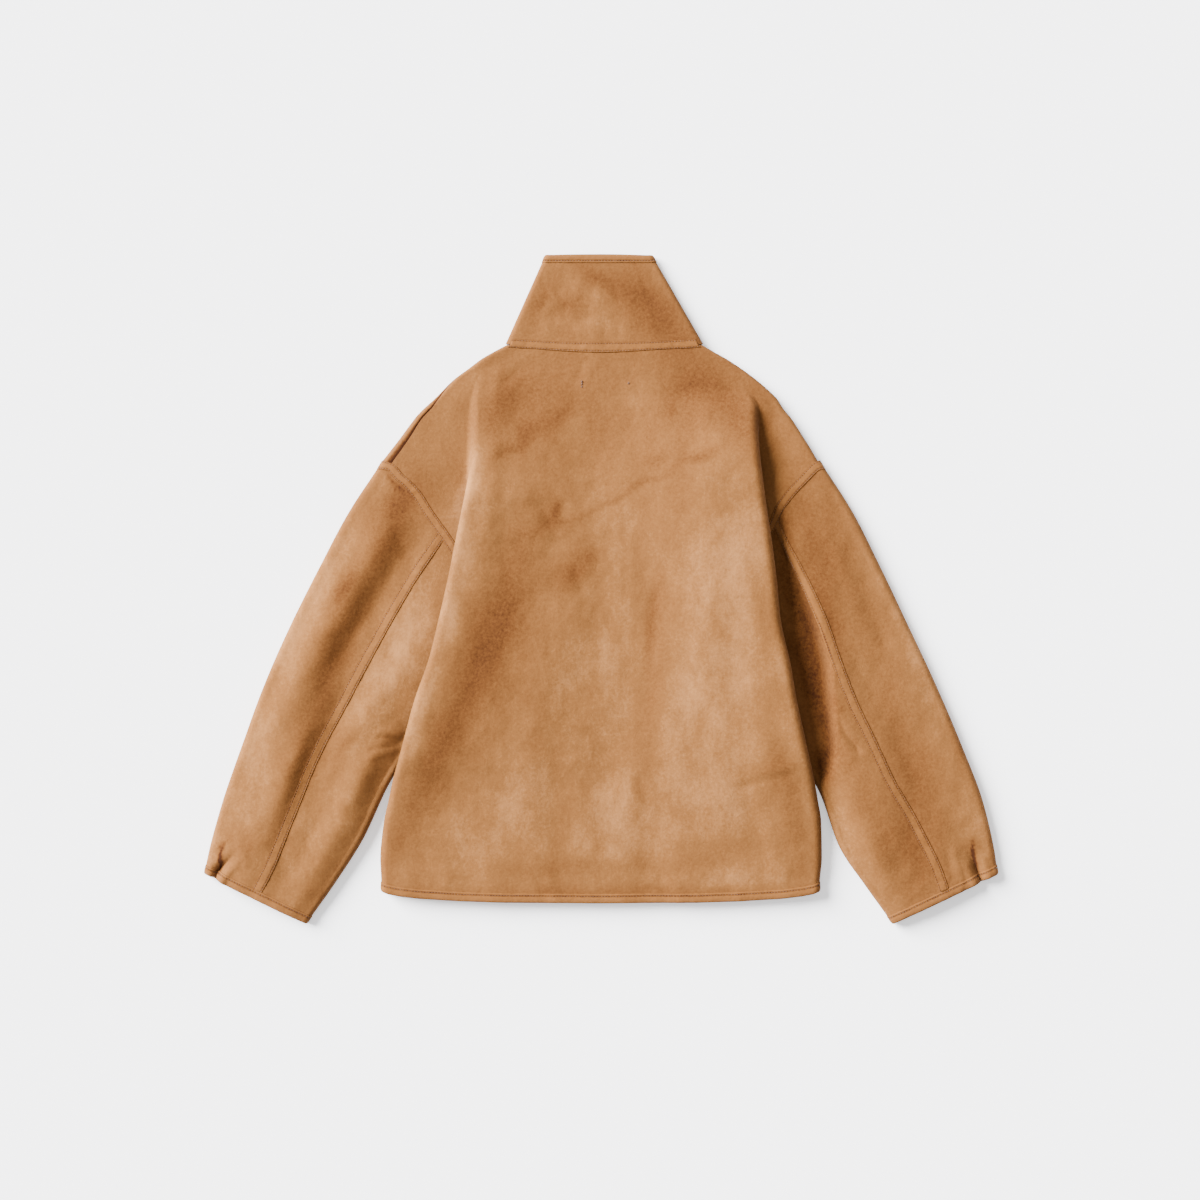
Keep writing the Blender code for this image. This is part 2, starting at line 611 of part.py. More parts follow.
def bar(name, edge, outward, normal, width, thickness, closed=False):
    """A rounded binding carried along a sheet's edge: an eight-sided section, capped or joined."""
    at = bending(edge)
    thickness = np.broadcast_to(thickness, len(edge))[at, None]
    edge, outward, normal = edge[at], unit(outward[at]), unit(normal[at])
    section = ((0.0, -0.8), (0.14, -1.0), (0.86, -1.0), (1.0, -0.5))
    section += tuple((a, -b) for a, b in reversed(section))
    rings = np.stack(
        [edge + outward * (SEAM_GAP + a * width) + normal * b * thickness / 2 for a, b in section],
        axis=1,
    )
    count, sides = rings.shape[:2]
    index = np.arange(count * sides).reshape(count, sides)
    after = np.roll(index, -1, axis=1)
    following = np.roll(index, -1, axis=0)
    quads = np.stack((index, after, np.roll(following, -1, axis=1), following), axis=-1)
    if closed:
        faces = quads.reshape(-1, 4).tolist()
    else:
        faces = quads[:-1].reshape(-1, 4).tolist() + [index[0][::-1].tolist(), index[-1].tolist()]
    obj = make_object(name, rings.reshape(-1, 3), faces, TRIM)
    face_outward(obj)
    return obj


def face_outward(obj):
    """Make a closed mesh's faces point out."""
    mesh = bmesh.new()
    mesh.from_mesh(obj.data)
    bmesh.ops.recalc_face_normals(mesh, faces=mesh.faces)
    mesh.to_mesh(obj.data)
    mesh.free()


def across_seam(lines, lift):
    """Three points of a tape on each line that crosses a seam, moved out from the cloth."""
    samples = np.array((-0.5, 0.0, 0.5)) * TAPE_WIDTH
    points = []
    for line in lines:
        length = np.concatenate(([0], np.cumsum(np.linalg.norm(np.diff(line, axis=0), axis=1))))
        places = length[SEAM_POINT] + samples
        points.append(np.stack([np.interp(places, length, line[:, k]) for k in range(3)], axis=1))
    points = np.array(points)
    normals = unit(np.cross(np.gradient(points, axis=0), np.gradient(points, axis=1)))
    normals *= np.sign(normals[:, 1:2, 2:3] + 1e-9)
    return points + normals * lift


def grid_of(side, out, up):
    """A body side's sections as points (x, y, z)."""
    bow = NECK_BOW * (1 - np.clip(out / side.shoulder["outline"][0], 0, 1) ** 2)
    y = side.y[:, None] - bow * np.clip(1 - (NECK_Y - side.y[:, None]) / NECK_BOW_FADE, 0, 1)
    return place(np.dstack((out, y, up)), side.sign)


def both_sides(left, right):
    """Left grid reversed and right grid, joined along the middle."""
    return np.concatenate((left[:, ::-1], right[:, 1:]), axis=1)


def back_mask(columns):
    """Which of the back's faces there are: none past the side seam or the armhole."""
    half = (columns - 1) // 2
    keep = np.ones((len(BODY_ROWS) - 1, columns - 1), dtype=bool)
    side_seam = TOP_STEPS + ROLL_STEPS + UNDER_STEPS
    shoulder_seam = half - WRAP_STEPS - 1
    for first, last_row in ((side_seam, ARMPIT_ROW), (shoulder_seam, TIP_ROW)):
        keep[last_row:, : half - first] = False
        keep[last_row:, half + first :] = False
    return keep


def front_mask(columns):
    """Which of a front's faces there are: the wrap round the shoulder ends at its tip."""
    keep = np.ones((len(BODY_ROWS) - 1, columns - 1), dtype=bool)
    keep[TIP_ROW:, : FOLD_STEPS + 3] = False
    return keep


def collar_side(side, back_row, front):
    """Half the collar from the middle of the back round its fold to the front edge."""
    neckline = front[BODY_ROWS > NECK_Y - NECK_DROP, -1]
    edge_out = FRONT_EDGE + BINDING_WIDTH + SEAM_GAP
    last = np.array([[edge_out, neckline[-1, 1] - 1.0, FLOOR]])
    fold_columns = front[0, 3 : FOLD_STEPS + 3]
    flat = len(back_row) - WRAP_STEPS - 1
    turned = flat + WRAP_STEPS + FOLD_STEPS
    bottom = np.concatenate((back_row[:-1], fold_columns, neckline, last))
    fold_out = back_row[flat - 1, 0]
    top = np.empty_like(bottom)
    scale = (side.collar_top - CLOTH / 2 - COLLAR_TOP_ROLL) / fold_out
    top_y = COLLAR_TOP_Y - COLLAR_BINDING - SEAM_GAP
    top[:flat, 0] = bottom[:flat, 0] * scale
    top[:flat, 2] = FLOOR + 2 * COLLAR_TOP_ROLL
    fold = slice(flat, turned)
    angles = np.arccos(np.clip((bottom[fold, 2] - FLOOR) / SHOULDER_ROLL - 1, -1, 1))
    top[fold, 0] = fold_out * scale + COLLAR_TOP_ROLL * np.sin(angles)
    top[fold, 2] = FLOOR + COLLAR_TOP_ROLL * (1 + np.cos(angles))
    top[:, 1] = top_y
    under = bottom[turned:]
    steps = np.linalg.norm(np.diff(under, axis=0, prepend=bottom[turned - 1][None]), axis=1)
    part = np.cumsum(steps) / steps.sum()
    top[turned:, 0] = fold_out * scale + (edge_out - fold_out * scale) * part
    top[turned:, 1] = top_y - (top_y - COLLAR_FRONT_Y) * part
    top[turned:, 2] = FLOOR
    off_neck = SEAM_GAP + COLLAR_TILT_GAP * smoothstep(bottom[:, 0] / fold_out) ** 2
    bottom = bottom + np.array((0.0, 1.0, 0.0)) * off_neck[:, None]
    bottom[turned:-1, 0] -= SEAM_GAP
    part = np.linspace(0, 1, COLLAR_STEPS + 1)[:, None, None]
    return place(bottom[None] + (top - bottom)[None] * part, side.sign)


def build_body(left, right):
    """Back, fronts, collar and what is sewn along their edges."""
    grids, fronts = {}, {}
    for side in (left, right):
        out, up = side.back_half()
        grids[side.name] = grid_of(side, out, up)
        front_out, front_up = side.front_half(out, up)
        front_y = np.repeat(side.y[:, None], front_out.shape[1], axis=1)
        fronts[side.name] = place(np.dstack((front_out, front_y, front_up)), side.sign)
    back = both_sides(grids["left"], grids["right"])
    sheet("back", back, SUEDE, keep=back_mask(back.shape[1]))
    collars = {}
    for side in (left, right):
        front = fronts[side.name]
        sheet("front_" + side.name, front, SUEDE, keep=front_mask(front.shape[1]))
        back_row, front = place(grids[side.name][0], side.sign), place(front, side.sign)
        collars[side.name] = collar_side(side, back_row, front)
    collar = both_sides(collars["left"], collars["right"])
    sheet("collar", collar, SUEDE)
    return grids, fronts, collar


def build_sleeve(side, sleeve):
    """The two panels of a sleeve; the back seam shows, the other is on the surface."""
    grid = place(sleeve.grid(), side.sign)
    upper_count = ARMPIT_ROW - TIP_ROW + 2
    seam = sleeve.seam_column
    under_seam = upper_count + FOLD_STEPS - 1 + UNDER_SEAM_COLUMN
    ring = np.concatenate((grid, grid[:, :1]), axis=1)
    before, after = seam_edges(ring, seam)
    under_before, under_after = seam_edges(ring, under_seam)
    outer = np.concatenate((under_after, ring[:, under_seam + 1 : -1], ring[:, :seam], before), axis=1)
    inner = np.concatenate((after, ring[:, seam + 1 : under_seam], under_before), axis=1)
    for name, panel in (("upper", outer), ("under", inner)):
        sheet("sleeve_" + side.name + "_" + name, panel, SUEDE)
    return grid


def seam_edges(ring, column):
    """The last two columns before a seam and the first two after it, level with each other."""
    along = unit(ring[:, column + 1] - ring[:, column - 1])[:, None]
    reach = np.array((SEAM_GAP / 2 + SEAM_STEP, SEAM_GAP / 2))[None, :, None]
    middle = ring[:, column : column + 1]
    return middle - along * reach, middle + along * reach[:, ::-1]


def edge_frame(grid):
    """A sheet's last row, the way out of the sheet there, and the cloth's normal."""
    edge = grid[-1]
    outward = unit(edge - grid[-2])
    along = np.gradient(edge, axis=0)
    normal = unit(np.cross(along, outward))
    return edge, outward, normal


def low_lift(edge):
    """Bindings under the coat are thinner and keep off the surface."""
    below = edge[:, 2] < FLOOR + 0.4
    thickness = np.where(below, BINDING_THICK_BELOW, BINDING_THICK)
    lift = np.where(edge[:, 2] - thickness / 2 < 0, thickness / 2 - edge[:, 2], 0)
    return thickness, edge + lift[:, None] * np.array((0.0, 0.0, 1.0))


def build_bindings(grids, fronts, collar, sleeves):
    """Bound edges: hem, collar top, cuffs and front edges."""
    side_seam = TOP_STEPS + ROLL_STEPS + UNDER_STEPS
    halves = []
    for name in ("left", "right"):
        body = np.concatenate(
            (grids[name][-2:, : side_seam + 1], fronts[name][-2:, FOLD_STEPS + 4 :]), axis=1
        )
        sign = -1.0 if name == "left" else 1.0
        corner = body[:, -1:].copy()
        corner[:, :, 0] = sign * FRONT_EDGE
        halves.append(np.concatenate((body, corner), axis=1))
    hem = both_sides(halves[0], halves[1])
    edge, _, normal = edge_frame(hem)
    outward = np.broadcast_to(np.array((0.0, -1.0, 0.0)), edge.shape)
    thickness, edge = low_lift(edge)
    bar("hem_binding", edge, outward, normal, BINDING_WIDTH, thickness)
    edge, outward, normal = edge_frame(collar)
    thickness, edge = low_lift(edge)
    bar("collar_binding", edge, outward, normal, COLLAR_BINDING, thickness)
    for name, grid in sleeves.items():
        ring = np.concatenate((grid, grid[:, :1]), axis=1)
        edge, outward, normal = edge_frame(ring)
        closed = unit(normal[0] + normal[-1])
        normal[0], normal[-1] = closed, closed
        outward = unit(outward * np.array((1.0, 1.0, 0.0)))
        thickness, edge = low_lift(edge)
        bar("cuff_binding_" + name, edge[:-1], outward[:-1], normal[:-1], BINDING_WIDTH, thickness[:-1],
            closed=True)
        sign = -1.0 if name == "left" else 1.0
        edge_x = sign * (FRONT_EDGE + BINDING_WIDTH + SEAM_GAP)
        ends = np.array(((edge_x, COLLAR_FRONT_Y, 0), (edge_x, PANEL_END_Y, 0)), dtype=float)
        ends[:, 2] = BINDING_THICK_BELOW / 2
        inward = np.array(((-sign, 0.0, 0.0),) * 2)
        upward = np.array(((0.0, 0.0, 1.0),) * 2)
        bar("front_binding_" + name, ends, inward, upward, BINDING_WIDTH, BINDING_THICK_BELOW)


def build_tapes(left, right, grids, collar, sleeves):
    """Tapes sewn over the neck, armhole and sleeve back seams."""
    lift = CLOTH / 2 + SEAM_GAP + TAPE_THICK / 2
    back = both_sides(grids["left"], grids["right"])
    inset = NECK_TAPE_INSET
    columns = range(inset, back.shape[1] - inset)
    side_count = (collar.shape[1] - back.shape[1]) // 2
    lines = [np.concatenate((back[2::-1, k], collar[:3, k + side_count])) for k in columns]
    tape = across_seam(lines, lift)
    sheet("neck_tape", tape, TRIM, thickness=TAPE_THICK)
    lift += 2 * SEAM_GAP
    for side, seam_row in ((left, SEAM_ROW_LEFT), (right, SEAM_ROW_RIGHT)):
        sleeve = sleeves[side.name]
        seam = seam_row - TIP_ROW + 1
        lines = [np.stack([row[seam + k] for k in (-2, -1, 0, 1, 2)]) for row in sleeve[1:]]
        tape = across_seam(lines, lift)
        tape[0] += (tape[1] - tape[0]) * SLEEVE_TAPE_START
        sheet("sleeve_tape_" + side.name, tape, TRIM, thickness=TAPE_THICK)
        sheet("armhole_tape_" + side.name, armhole_tape(side, grids[side.name], sleeve, lift), TRIM,
              thickness=TAPE_THICK)


def armhole_tape(side, back, sleeve, lift):
    """The armhole tape from the shoulder fold in to where the body's fold hides it."""
    lines = []
    up_shoulder = np.array((-0.54 * side.sign, 0.84, 0.0))
    top = sleeve.shape[1]
    for column in (top - 1, 0):
        inside = sleeve[0, column] + up_shoulder * np.array((12.0, 6.0))[:, None]
        lines.append(np.concatenate((inside, sleeve[0:4, column])))
    last = back.shape[1] - WRAP_STEPS - 2
    for k, row in enumerate(range(TIP_ROW, ARMHOLE_TAPE_END)):
        inside = back[row, [last - 2, last - 1]]
        lines.append(np.concatenate((inside, sleeve[0:4, k + 1])))
    return across_seam(lines, lift)


def main():
    """Build every piece."""
    for obj in list(bpy.data.objects):
        bpy.data.objects.remove(obj)
    left = BodySide("left", -1.0, FOLD_LEFT, SHOULDER_LEFT, ARMHOLE_LEFT, COLLAR_TOP_LEFT)
    right = BodySide("right", 1.0, FOLD_RIGHT, SHOULDER_RIGHT, ARMHOLE_RIGHT, COLLAR_TOP_RIGHT)
    grids, fronts, collar = build_body(left, right)
    sleeves = (
        (left, STATIONS_LEFT, HEIGHTS_LEFT, SEAM_ROW_LEFT, PLEAT_LEFT),
        (right, STATIONS_RIGHT, HEIGHTS_RIGHT, SEAM_ROW_RIGHT, PLEAT_RIGHT),
    )
    tubes = {}
    for side, stations, heights, seam_row, pleat in sleeves:
        tubes[side.name] = build_sleeve(side, SleeveSide(side, stations, heights, seam_row, pleat))
    build_bindings(grids, fronts, collar, tubes)
    build_tapes(left, right, grids, collar, tubes)


main()
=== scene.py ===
"""A hip-length faux shearling coat laid flat with its back upward: cloth, trim, sewing and finish.

Shapes are worked out in millimetres, section by section, as grids of points half way through
the cloth, and each grid becomes a wall with a suede face outside and short pile inside.
X runs across the coat, Y from the hem up to the collar, Z up from the surface it lies on.
"""

import logging
from dataclasses import dataclass, field
from enum import Enum

import bpy
import numpy as np
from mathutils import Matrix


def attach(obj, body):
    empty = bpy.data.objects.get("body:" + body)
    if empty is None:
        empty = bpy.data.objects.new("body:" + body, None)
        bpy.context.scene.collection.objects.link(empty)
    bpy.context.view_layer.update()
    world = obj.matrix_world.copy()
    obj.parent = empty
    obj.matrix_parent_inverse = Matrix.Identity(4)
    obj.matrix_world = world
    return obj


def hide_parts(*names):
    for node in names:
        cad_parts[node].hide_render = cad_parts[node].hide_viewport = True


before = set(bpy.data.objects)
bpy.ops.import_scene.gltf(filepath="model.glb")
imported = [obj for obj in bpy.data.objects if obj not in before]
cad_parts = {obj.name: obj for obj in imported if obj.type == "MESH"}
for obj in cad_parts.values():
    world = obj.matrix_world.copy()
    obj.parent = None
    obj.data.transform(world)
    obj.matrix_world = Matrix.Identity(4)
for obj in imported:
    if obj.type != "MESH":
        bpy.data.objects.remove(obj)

LOG = logging.getLogger("coat")
Array = np.ndarray
MM = 0.001

# Cloth and trim, in millimetres.
CLOTH = 3.0
SEAM_GAP = 0.3
SHOULDER_GAP = 0.5
FLOOR = CLOTH / 2
TAPE_WIDTH = 12.0
BINDING_WIDTH = 10.0
COLLAR_BINDING = 9.0

# Where the outline turns.
NECK_Y = 279.0
SHOULDER_TIP_Y = 142.0
ARMPIT_Y = -58.0
PANEL_END_Y = -349.0
COLLAR_TOP_Y = 384.5
NECKLINE_HALF = 98.0
NECK_DROP = 97.0
COLLAR_TOP_LEFT = 67.0
COLLAR_TOP_RIGHT = 64.0
COLLAR_TOP_ROLL = 4.2
COLLAR_FRONT_Y = 268.0
COLLAR_TILT_GAP = 1.7
FRONT_EDGE = 0.6
HEM_LIFT_FROM = -285.0
HEM_LIFT = ((0.0, 0.0), (110.0, 0.8), (158.0, 2.3), (207.0, 5.3), (230.0, 8.0), (243.0, 10.5), (251.5, 14.0))
SHOULDER_HEIGHT = 12.5
SHOULDER_ROLL = (SHOULDER_HEIGHT - FLOOR) / 2
OUTER_ROLL = 7.0
INNER_ROLL = 5.5
PRESSED_ROLL = 2.2
ARMPIT_CLEAR = 6.5
SEAM_STEP = 0.6
LEAST_STEP = 0.4
LEAST_STRIP = 1.0
SEAM_FALL = 55.0
RING_FADE = 0.25
CUFF_FADE = 0.86
SETTLED_BY = 0.1
FREE_BY = 0.08
FIRST_SLEEVE_ROW = 0.003
OUTER_ROLL_BY = 0.2
INNER_ROLL_FROM = 0.4
INNER_ROLL_OVER = 0.3
FOLD_EASE = 0.1
EDGE_RUMPLE = 0.3
LEAST_WRAP = 0.05
FRONT_SPACING = 1.3
HEM_BEND = 1.5
COLLAR_SOFT_PART = 0.7
NECK_BOW = 3.0
NECK_BOW_FADE = 60.0
LEFT_SEAM_Y = 66.0
RIGHT_SEAM_Y = 81.0
UNDER_SEAM_Y = 66.0

# Half outline of the shoulders, and how far the back wraps round the shoulder fold.
SHOULDER_COLUMNS = ("y", "outline", "strip", "wrap")
SHOULDER_LEFT = (
    (142, 254.0, 6.5, 0),
    (172, 230.6, 4.5, 0),
    (195, 213.3, 2.0, 0),
    (206, 202.0, 0.8, 0),
    (218, 189.2, 0.5, 35),
    (241, 167.3, 0.0, 85),
    (252, 152.4, 0.0, 92),
    (264, 136.3, 0.0, 95),
    (271, 124.0, 0.0, 95),
    (279, 109.0, 0.0, 95),
)
SHOULDER_RIGHT = (
    (142, 255.5, 3.0, 95),
    (172, 234.5, 0.0, 95),
    (195, 219.8, 0.0, 95),
    (206, 210.6, 0.0, 95),
    (218, 203.0, 0.0, 95),
    (229, 191.8, 0.0, 95),
    (241, 177.5, 0.0, 95),
    (252, 162.6, 0.0, 95),
    (264, 144.2, 0.0, 95),
    (271, 131.5, 0.0, 95),
    (279, 118.0, 0.0, 95),
)

# The back's side folds: reach, height, then the turn under and the turn outward again.
FOLD_COLUMNS = ("y", "edge", "top", "roll", "turn", "under", "crease")
FOLD_LEFT = (
    (-349, 251.3, 16.0, 6.6, 178, 20, 2.4),
    (-311, 252.4, 17.5, 7.0, 176, 20, 2.4),
    (-265, 247.8, 21.5, 7.0, 169, 22, 2.4),
    (-242, 242.5, 24.0, 6.8, 169, 25, 2.4),
    (-219, 237.5, 27.0, 6.6, 170, 29, 2.4),
    (-196, 231.0, 31.5, 6.5, 172, 36, 3.2),
    (-173, 224.8, 33.5, 6.5, 173, 46, 3.2),
    (-127, 212.2, 36.0, 6.5, 174, 72, 3.2),
    (-81, 196.1, 36.5, 6.5, 175, 92, 3.2),
    (-58, 190.0, 36.5, 6.5, 175, 104, 3.2),
    (-35, 184.6, 36.5, 6.5, 174, 88, 3.2),
    (11, 174.2, 36.5, 6.5, 172, 58, 3.2),
    (57, 165.0, 35.5, 6.5, 169, 30, 3.2),
    (80, 160.4, 34.5, 6.5, 163, 19, 3.2),
    (103, 155.8, 33.5, 6.5, 135, 9, 4.5),
    (126, 151.5, 30.0, 6.5, 100, 6, 6.0),
    (149, 147.8, 27.0, 6.5, 76, 5, 7.0),
    (172, 146.0, 24.0, 6.5, 62, 5, 8.0),
    (195, 144.5, 20.5, 6.5, 45, 5, 9.0),
    (218, 143.5, 17.0, 6.5, 26, 4, 9.0),
    (243, 138.0, 13.5, 6.5, 4, 3, 9.0),
    (262, 108.0, 12.0, 6.5, 1, 3, 9.0),
    (279, 78.0, 12.0, 6.5, 1, 3, 9.0),
)
FOLD_RIGHT = (
    (-349, 251.3, 16.0, 6.6, 178, 20, 2.4),
    (-311, 253.6, 18.5, 7.4, 176, 20, 2.4),
    (-265, 252.4, 24.0, 8.6, 172, 22, 2.4),
    (-242, 248.6, 27.5, 9.2, 171, 25, 2.4),
    (-219, 244.4, 31.0, 9.5, 171, 29, 2.4),
    (-196, 239.2, 35.0, 9.5, 173, 36, 3.2),
    (-173, 234.0, 37.0, 9.5, 174, 46, 3.2),
    (-127, 223.7, 39.0, 9.5, 175, 72, 3.2),
    (-81, 215.6, 39.5, 9.5, 176, 104, 3.2),
    (-58, 210.0, 39.5, 9.5, 176.5, 120, 3.2),
    (-35, 205.3, 39.5, 9.5, 176, 101, 3.2),
    (11, 200.7, 39.5, 9.5, 175, 76, 3.2),
    (57, 194.9, 39.0, 9.5, 172, 48, 3.2),
    (80, 191.5, 38.5, 9.5, 170, 37, 3.2),
    (103, 188.0, 38.0, 9.5, 166, 27, 3.4),
    (126, 185.0, 38.5, 9.5, 154, 16, 4.0),
    (149, 182.3, 37.0, 9.5, 118, 7, 6.0),
    (172, 180.5, 32.5, 9.5, 88, 6, 8.0),
    (195, 179.0, 25.5, 9.5, 64, 6, 8.0),
    (206, 178.0, 22.0, 9.0, 48, 5, 7.0),
    (218, 174.0, 17.0, 8.0, 26, 4, 6.0),
    (230, 163.0, 14.0, 6.5, 4, 3, 5.0),
    (243, 146.0, 13.0, 6.5, 1, 3, 5.0),
    (262, 113.0, 12.0, 6.5, 1, 3, 5.0),
    (279, 80.0, 12.0, 6.5, 1, 3, 5.0),
)
MIDDLE_COLUMNS = ("y", "height")
MIDDLE = (
    (-349, 15.0),
    (-311, 17.5),
    (-196, 22.0),
    (-58, 25.0),
    (57, 23.5),
    (149, 19.5),
    (195, 16.5),
    (243, 14.0),
    (279, 13.0),
)

# Armhole seams in plan, from the shoulder tip to the armpit.
ARMHOLE_LEFT = (
    (241.2, 142.0, 12.5),
    (235.2, 133.5, 12.8),
    (221.4, 121.3, 13.0),
    (209.9, 107.5, 13.5),
    (200.7, 92.6, 13.5),
    (189.2, 76.5, 13.0),
    (177.7, 60.4, 12.0),
    (166.2, 43.1, 11.0),
    (150.0, 22.4, 10.0),
    (115.6, -16.7, 9.0),
    (81.8, -58.0, 8.2),
)
ARMHOLE_RIGHT = (
    (248.0, 142.0, 12.5),
    (238.6, 132.5, 12.6),
    (226.0, 119.5, 12.5),
    (215.6, 107.5, 12.5),
    (207.6, 96.0, 12.0),
    (200.7, 81.1, 11.0),
    (193.0, 66.0, 9.5),
    (176.0, 45.0, 8.5),
    (154.0, 20.0, 8.0),
    (118.0, -18.0, 7.6),
    (82.8, -58.0, 7.0),
)

# Sleeves: flat outline at stations from armhole to cuff, and where the back seam runs.
STATION_COLUMNS = ("along", "outer_x", "outer_y", "inner_x", "inner_y", "seam")
STATIONS_LEFT = (
    (0.000, 254.0, 142.0, 82.0, -59.0, 0.404),
    (0.125, 286.8, 91.4, 118.0, -90.3, 0.424),
    (0.250, 322.6, 24.7, 149.0, -121.3, 0.440),
    (0.375, 355.9, -42.0, 181.1, -152.4, 0.460),
    (0.500, 385.8, -109.8, 214.5, -181.1, 0.485),
    (0.625, 411.1, -178.8, 242.1, -222.5, 0.475),
    (0.750, 433.0, -242.1, 272.0, -285.8, 0.475),
    (0.875, 447.9, -295.0, 304.2, -336.4, 0.488),
    (1.000, 454.8, -326.0, 337.5, -383.5, 0.490),
)
STATIONS_RIGHT = (
    (0.000, 255.5, 142.0, 83.0, -59.0, 0.312),
    (0.125, 287.4, 91.4, 119.0, -90.3, 0.364),
    (0.250, 321.6, 24.7, 151.0, -121.3, 0.404),
    (0.375, 353.3, -42.0, 182.3, -152.4, 0.468),
    (0.500, 385.0, -109.8, 217.9, -182.3, 0.532),
    (0.625, 414.3, -178.8, 250.1, -230.6, 0.550),
    (0.750, 438.3, -242.1, 274.3, -296.1, 0.486),
    (0.875, 451.0, -295.0, 303.0, -338.7, 0.465),
    (1.000, 456.0, -326.0, 335.2, -383.5, 0.490),
)
HEIGHT_ACROSS = (0.05, 0.20, 0.35, 0.50, 0.65, 0.80, 0.95)
HEIGHTS_LEFT = (
    (0.000, 12.0, 13.5, 13.5, 12.5, 11.0, 9.0, 8.0),
    (0.125, 14.0, 19.0, 13.0, 14.0, 15.0, 11.0, 7.0),
    (0.250, 15.0, 22.0, 13.0, 15.0, 17.5, 13.0, 7.0),
    (0.500, 16.0, 23.0, 20.0, 15.0, 20.0, 18.0, 8.0),
    (0.625, 16.0, 21.0, 24.0, 16.0, 18.0, 22.0, 12.0),
    (0.750, 15.5, 20.0, 23.0, 17.0, 16.5, 20.0, 13.0),
    (0.875, 14.0, 18.5, 20.0, 18.0, 15.5, 17.0, 12.0),
    (1.000, 13.0, 16.0, 17.5, 17.0, 15.5, 15.0, 11.0),
)
HEIGHTS_RIGHT = (
    (0.000, 12.0, 12.5, 11.5, 8.5, 8.0, 8.0, 8.0),
    (0.125, 13.0, 16.0, 17.5, 8.5, 7.0, 6.5, 6.5),
    (0.250, 14.0, 17.0, 21.0, 25.0, 12.0, 8.0, 6.5),
    (0.375, 14.5, 17.5, 20.0, 26.0, 24.0, 10.0, 6.5),
    (0.500, 15.0, 18.0, 19.0, 24.0, 28.0, 20.0, 8.0),
    (0.625, 15.0, 18.0, 18.0, 22.0, 27.0, 25.0, 14.0),
    (0.750, 15.0, 17.0, 19.0, 21.0, 24.0, 24.0, 14.0),
    (0.875, 14.0, 16.0, 18.0, 19.0, 20.0, 20.0, 14.0),
    (1.000, 12.0, 15.0, 16.5, 17.0, 17.0, 16.0, 12.0),
)

# Right sleeve: the ridge beside the valley under the arm, as out and y, downwards.
RIDGE_RIGHT = (
    (209.9, 79.9),
    (217.9, 45.4),
    (235.2, -0.6),
    (254.7, -58.1),
    (261.6, -81.1),
    (263.8, -115.6),
    (266.2, -138.6),
    (268.5, -167.3),
    (268.5, -190.3),
    (265.0, -207.6),
    (257.3, -219.1),
    (250.9, -233.3),
)
VALLEY_FALL = 13.0
VALLEY_FLOOR = 6.5
VALLEY_LEAD = 0.25
VALLEY_BELOW = (16.0, 20.0)
VALLEY_ABOVE = (10.0, 30.0)

# Painted shade in the shoulder seams: how much darker the cloth is painted there, how far the first
# columns stand from them, and the distance of any column that is not near one.
SEAM_SHADE = 1.8
BACK_SEAM_PITCH = 0.9
FRONT_SEAM_DISTANCES = (0.0, 0.6, 1.6)
FAR = 50.0

# Cuff pleats: depth, half width as a part of the sleeve's width, reach up from the cuff, and the
# slit's place across the sleeve with its lean towards the tape.
PLEAT_DEPTH = 8.0
PLEAT_HALF_WIDTH = 0.034
PLEAT_REACH = 0.16
PLEAT_LIP = 1.3
PLEAT_LIP_AT = 0.075
PLEAT_LIP_HALF_WIDTH = 0.03
PLEAT_SHARPNESS = 1.4
PLEAT_LEFT = (0.12, 0.60)
PLEAT_RIGHT = (0.17, 0.15)

# Folds and creases along straight lines in plan: ridges up and troughs down.
WAVE_COLUMNS = ("x0", "y0", "x1", "y1", "height", "width")
BACK_WAVES = (
    (-105, 70, -205, -300, -2.6, 26),
    (-35, 10, -95, -290, 2.2, 30),
    (62, 20, 12, -210, -2.0, 26),
    (125, 120, 120, -80, 2.2, 30),
    (-100, 215, -125, 110, -1.8, 22),
    (70, -180, 50, -340, -1.6, 24),
    (165, -170, 195, -340, -1.8, 20),
)
BACK_CREASES = (
    (154, -217, 218, -201, 0.7, 5),
    (156, -226, 214, -211, -0.5, 5),
    (205, -60, 214, -70, -1.2, 3),
    (196, -66, 208, -78, 0.9, 4),
    (-68, 96, -48, 56, -0.9, 7),
    (-30, 22, -22, 2, -0.7, 6),
    (60, -12, 55, -130, -0.9, 9),
    (46, -218, 52, -242, -0.7, 5),
    (84, -332, 92, -349, 0.8, 4),
    (70, -330, 74, -349, -0.7, 4),
    (-58, -334, -52, -349, 0.7, 5),
    (-70, -336, -66, -349, -0.6, 4),
    (150, -330, 158, -349, 0.6, 5),
    (-172, -332, -180, -349, 0.5, 5),
    (-92, 250, -112, 236, -0.8, 6),
    (96, 252, 122, 238, -0.9, 7),
    (-20, 262, -24, 244, -0.6, 5),
    (32, 262, 34, 246, -0.6, 5),
    (-120, 160, -128, 60, 1.0, 10),
    (120, 196, 146, 150, 0.9, 9),
    (-196, -120, -212, -190, 0.8, 8),
    (180, -232, 206, -336, 0.8, 10),
)
SLEEVE_CREASES_LEFT = (
    (-249, 134, -216, 110, -1.8, 3.0),
    (-246, 126, -220, 106, 1.0, 4),
    (-252, -169, -229, -173, -1.6, 3.5),
    (-250, -162, -230, -165, 1.0, 4),
    (-260, -183, -231, -177, -1.2, 3.5),
    (-262, -190, -240, -186, 0.8, 4),
    (-305, -240, -302, -266, -0.7, 4),
    (-337, -288, -326, -309, -0.9, 4),
    (-412, -292, -404, -312, 0.8, 4),
    (-236, 66, -224, 44, -0.8, 6),
    (-282, 34, -300, -20, -0.9, 10),
    (-206, 30, -214, 6, 0.7, 5),
)
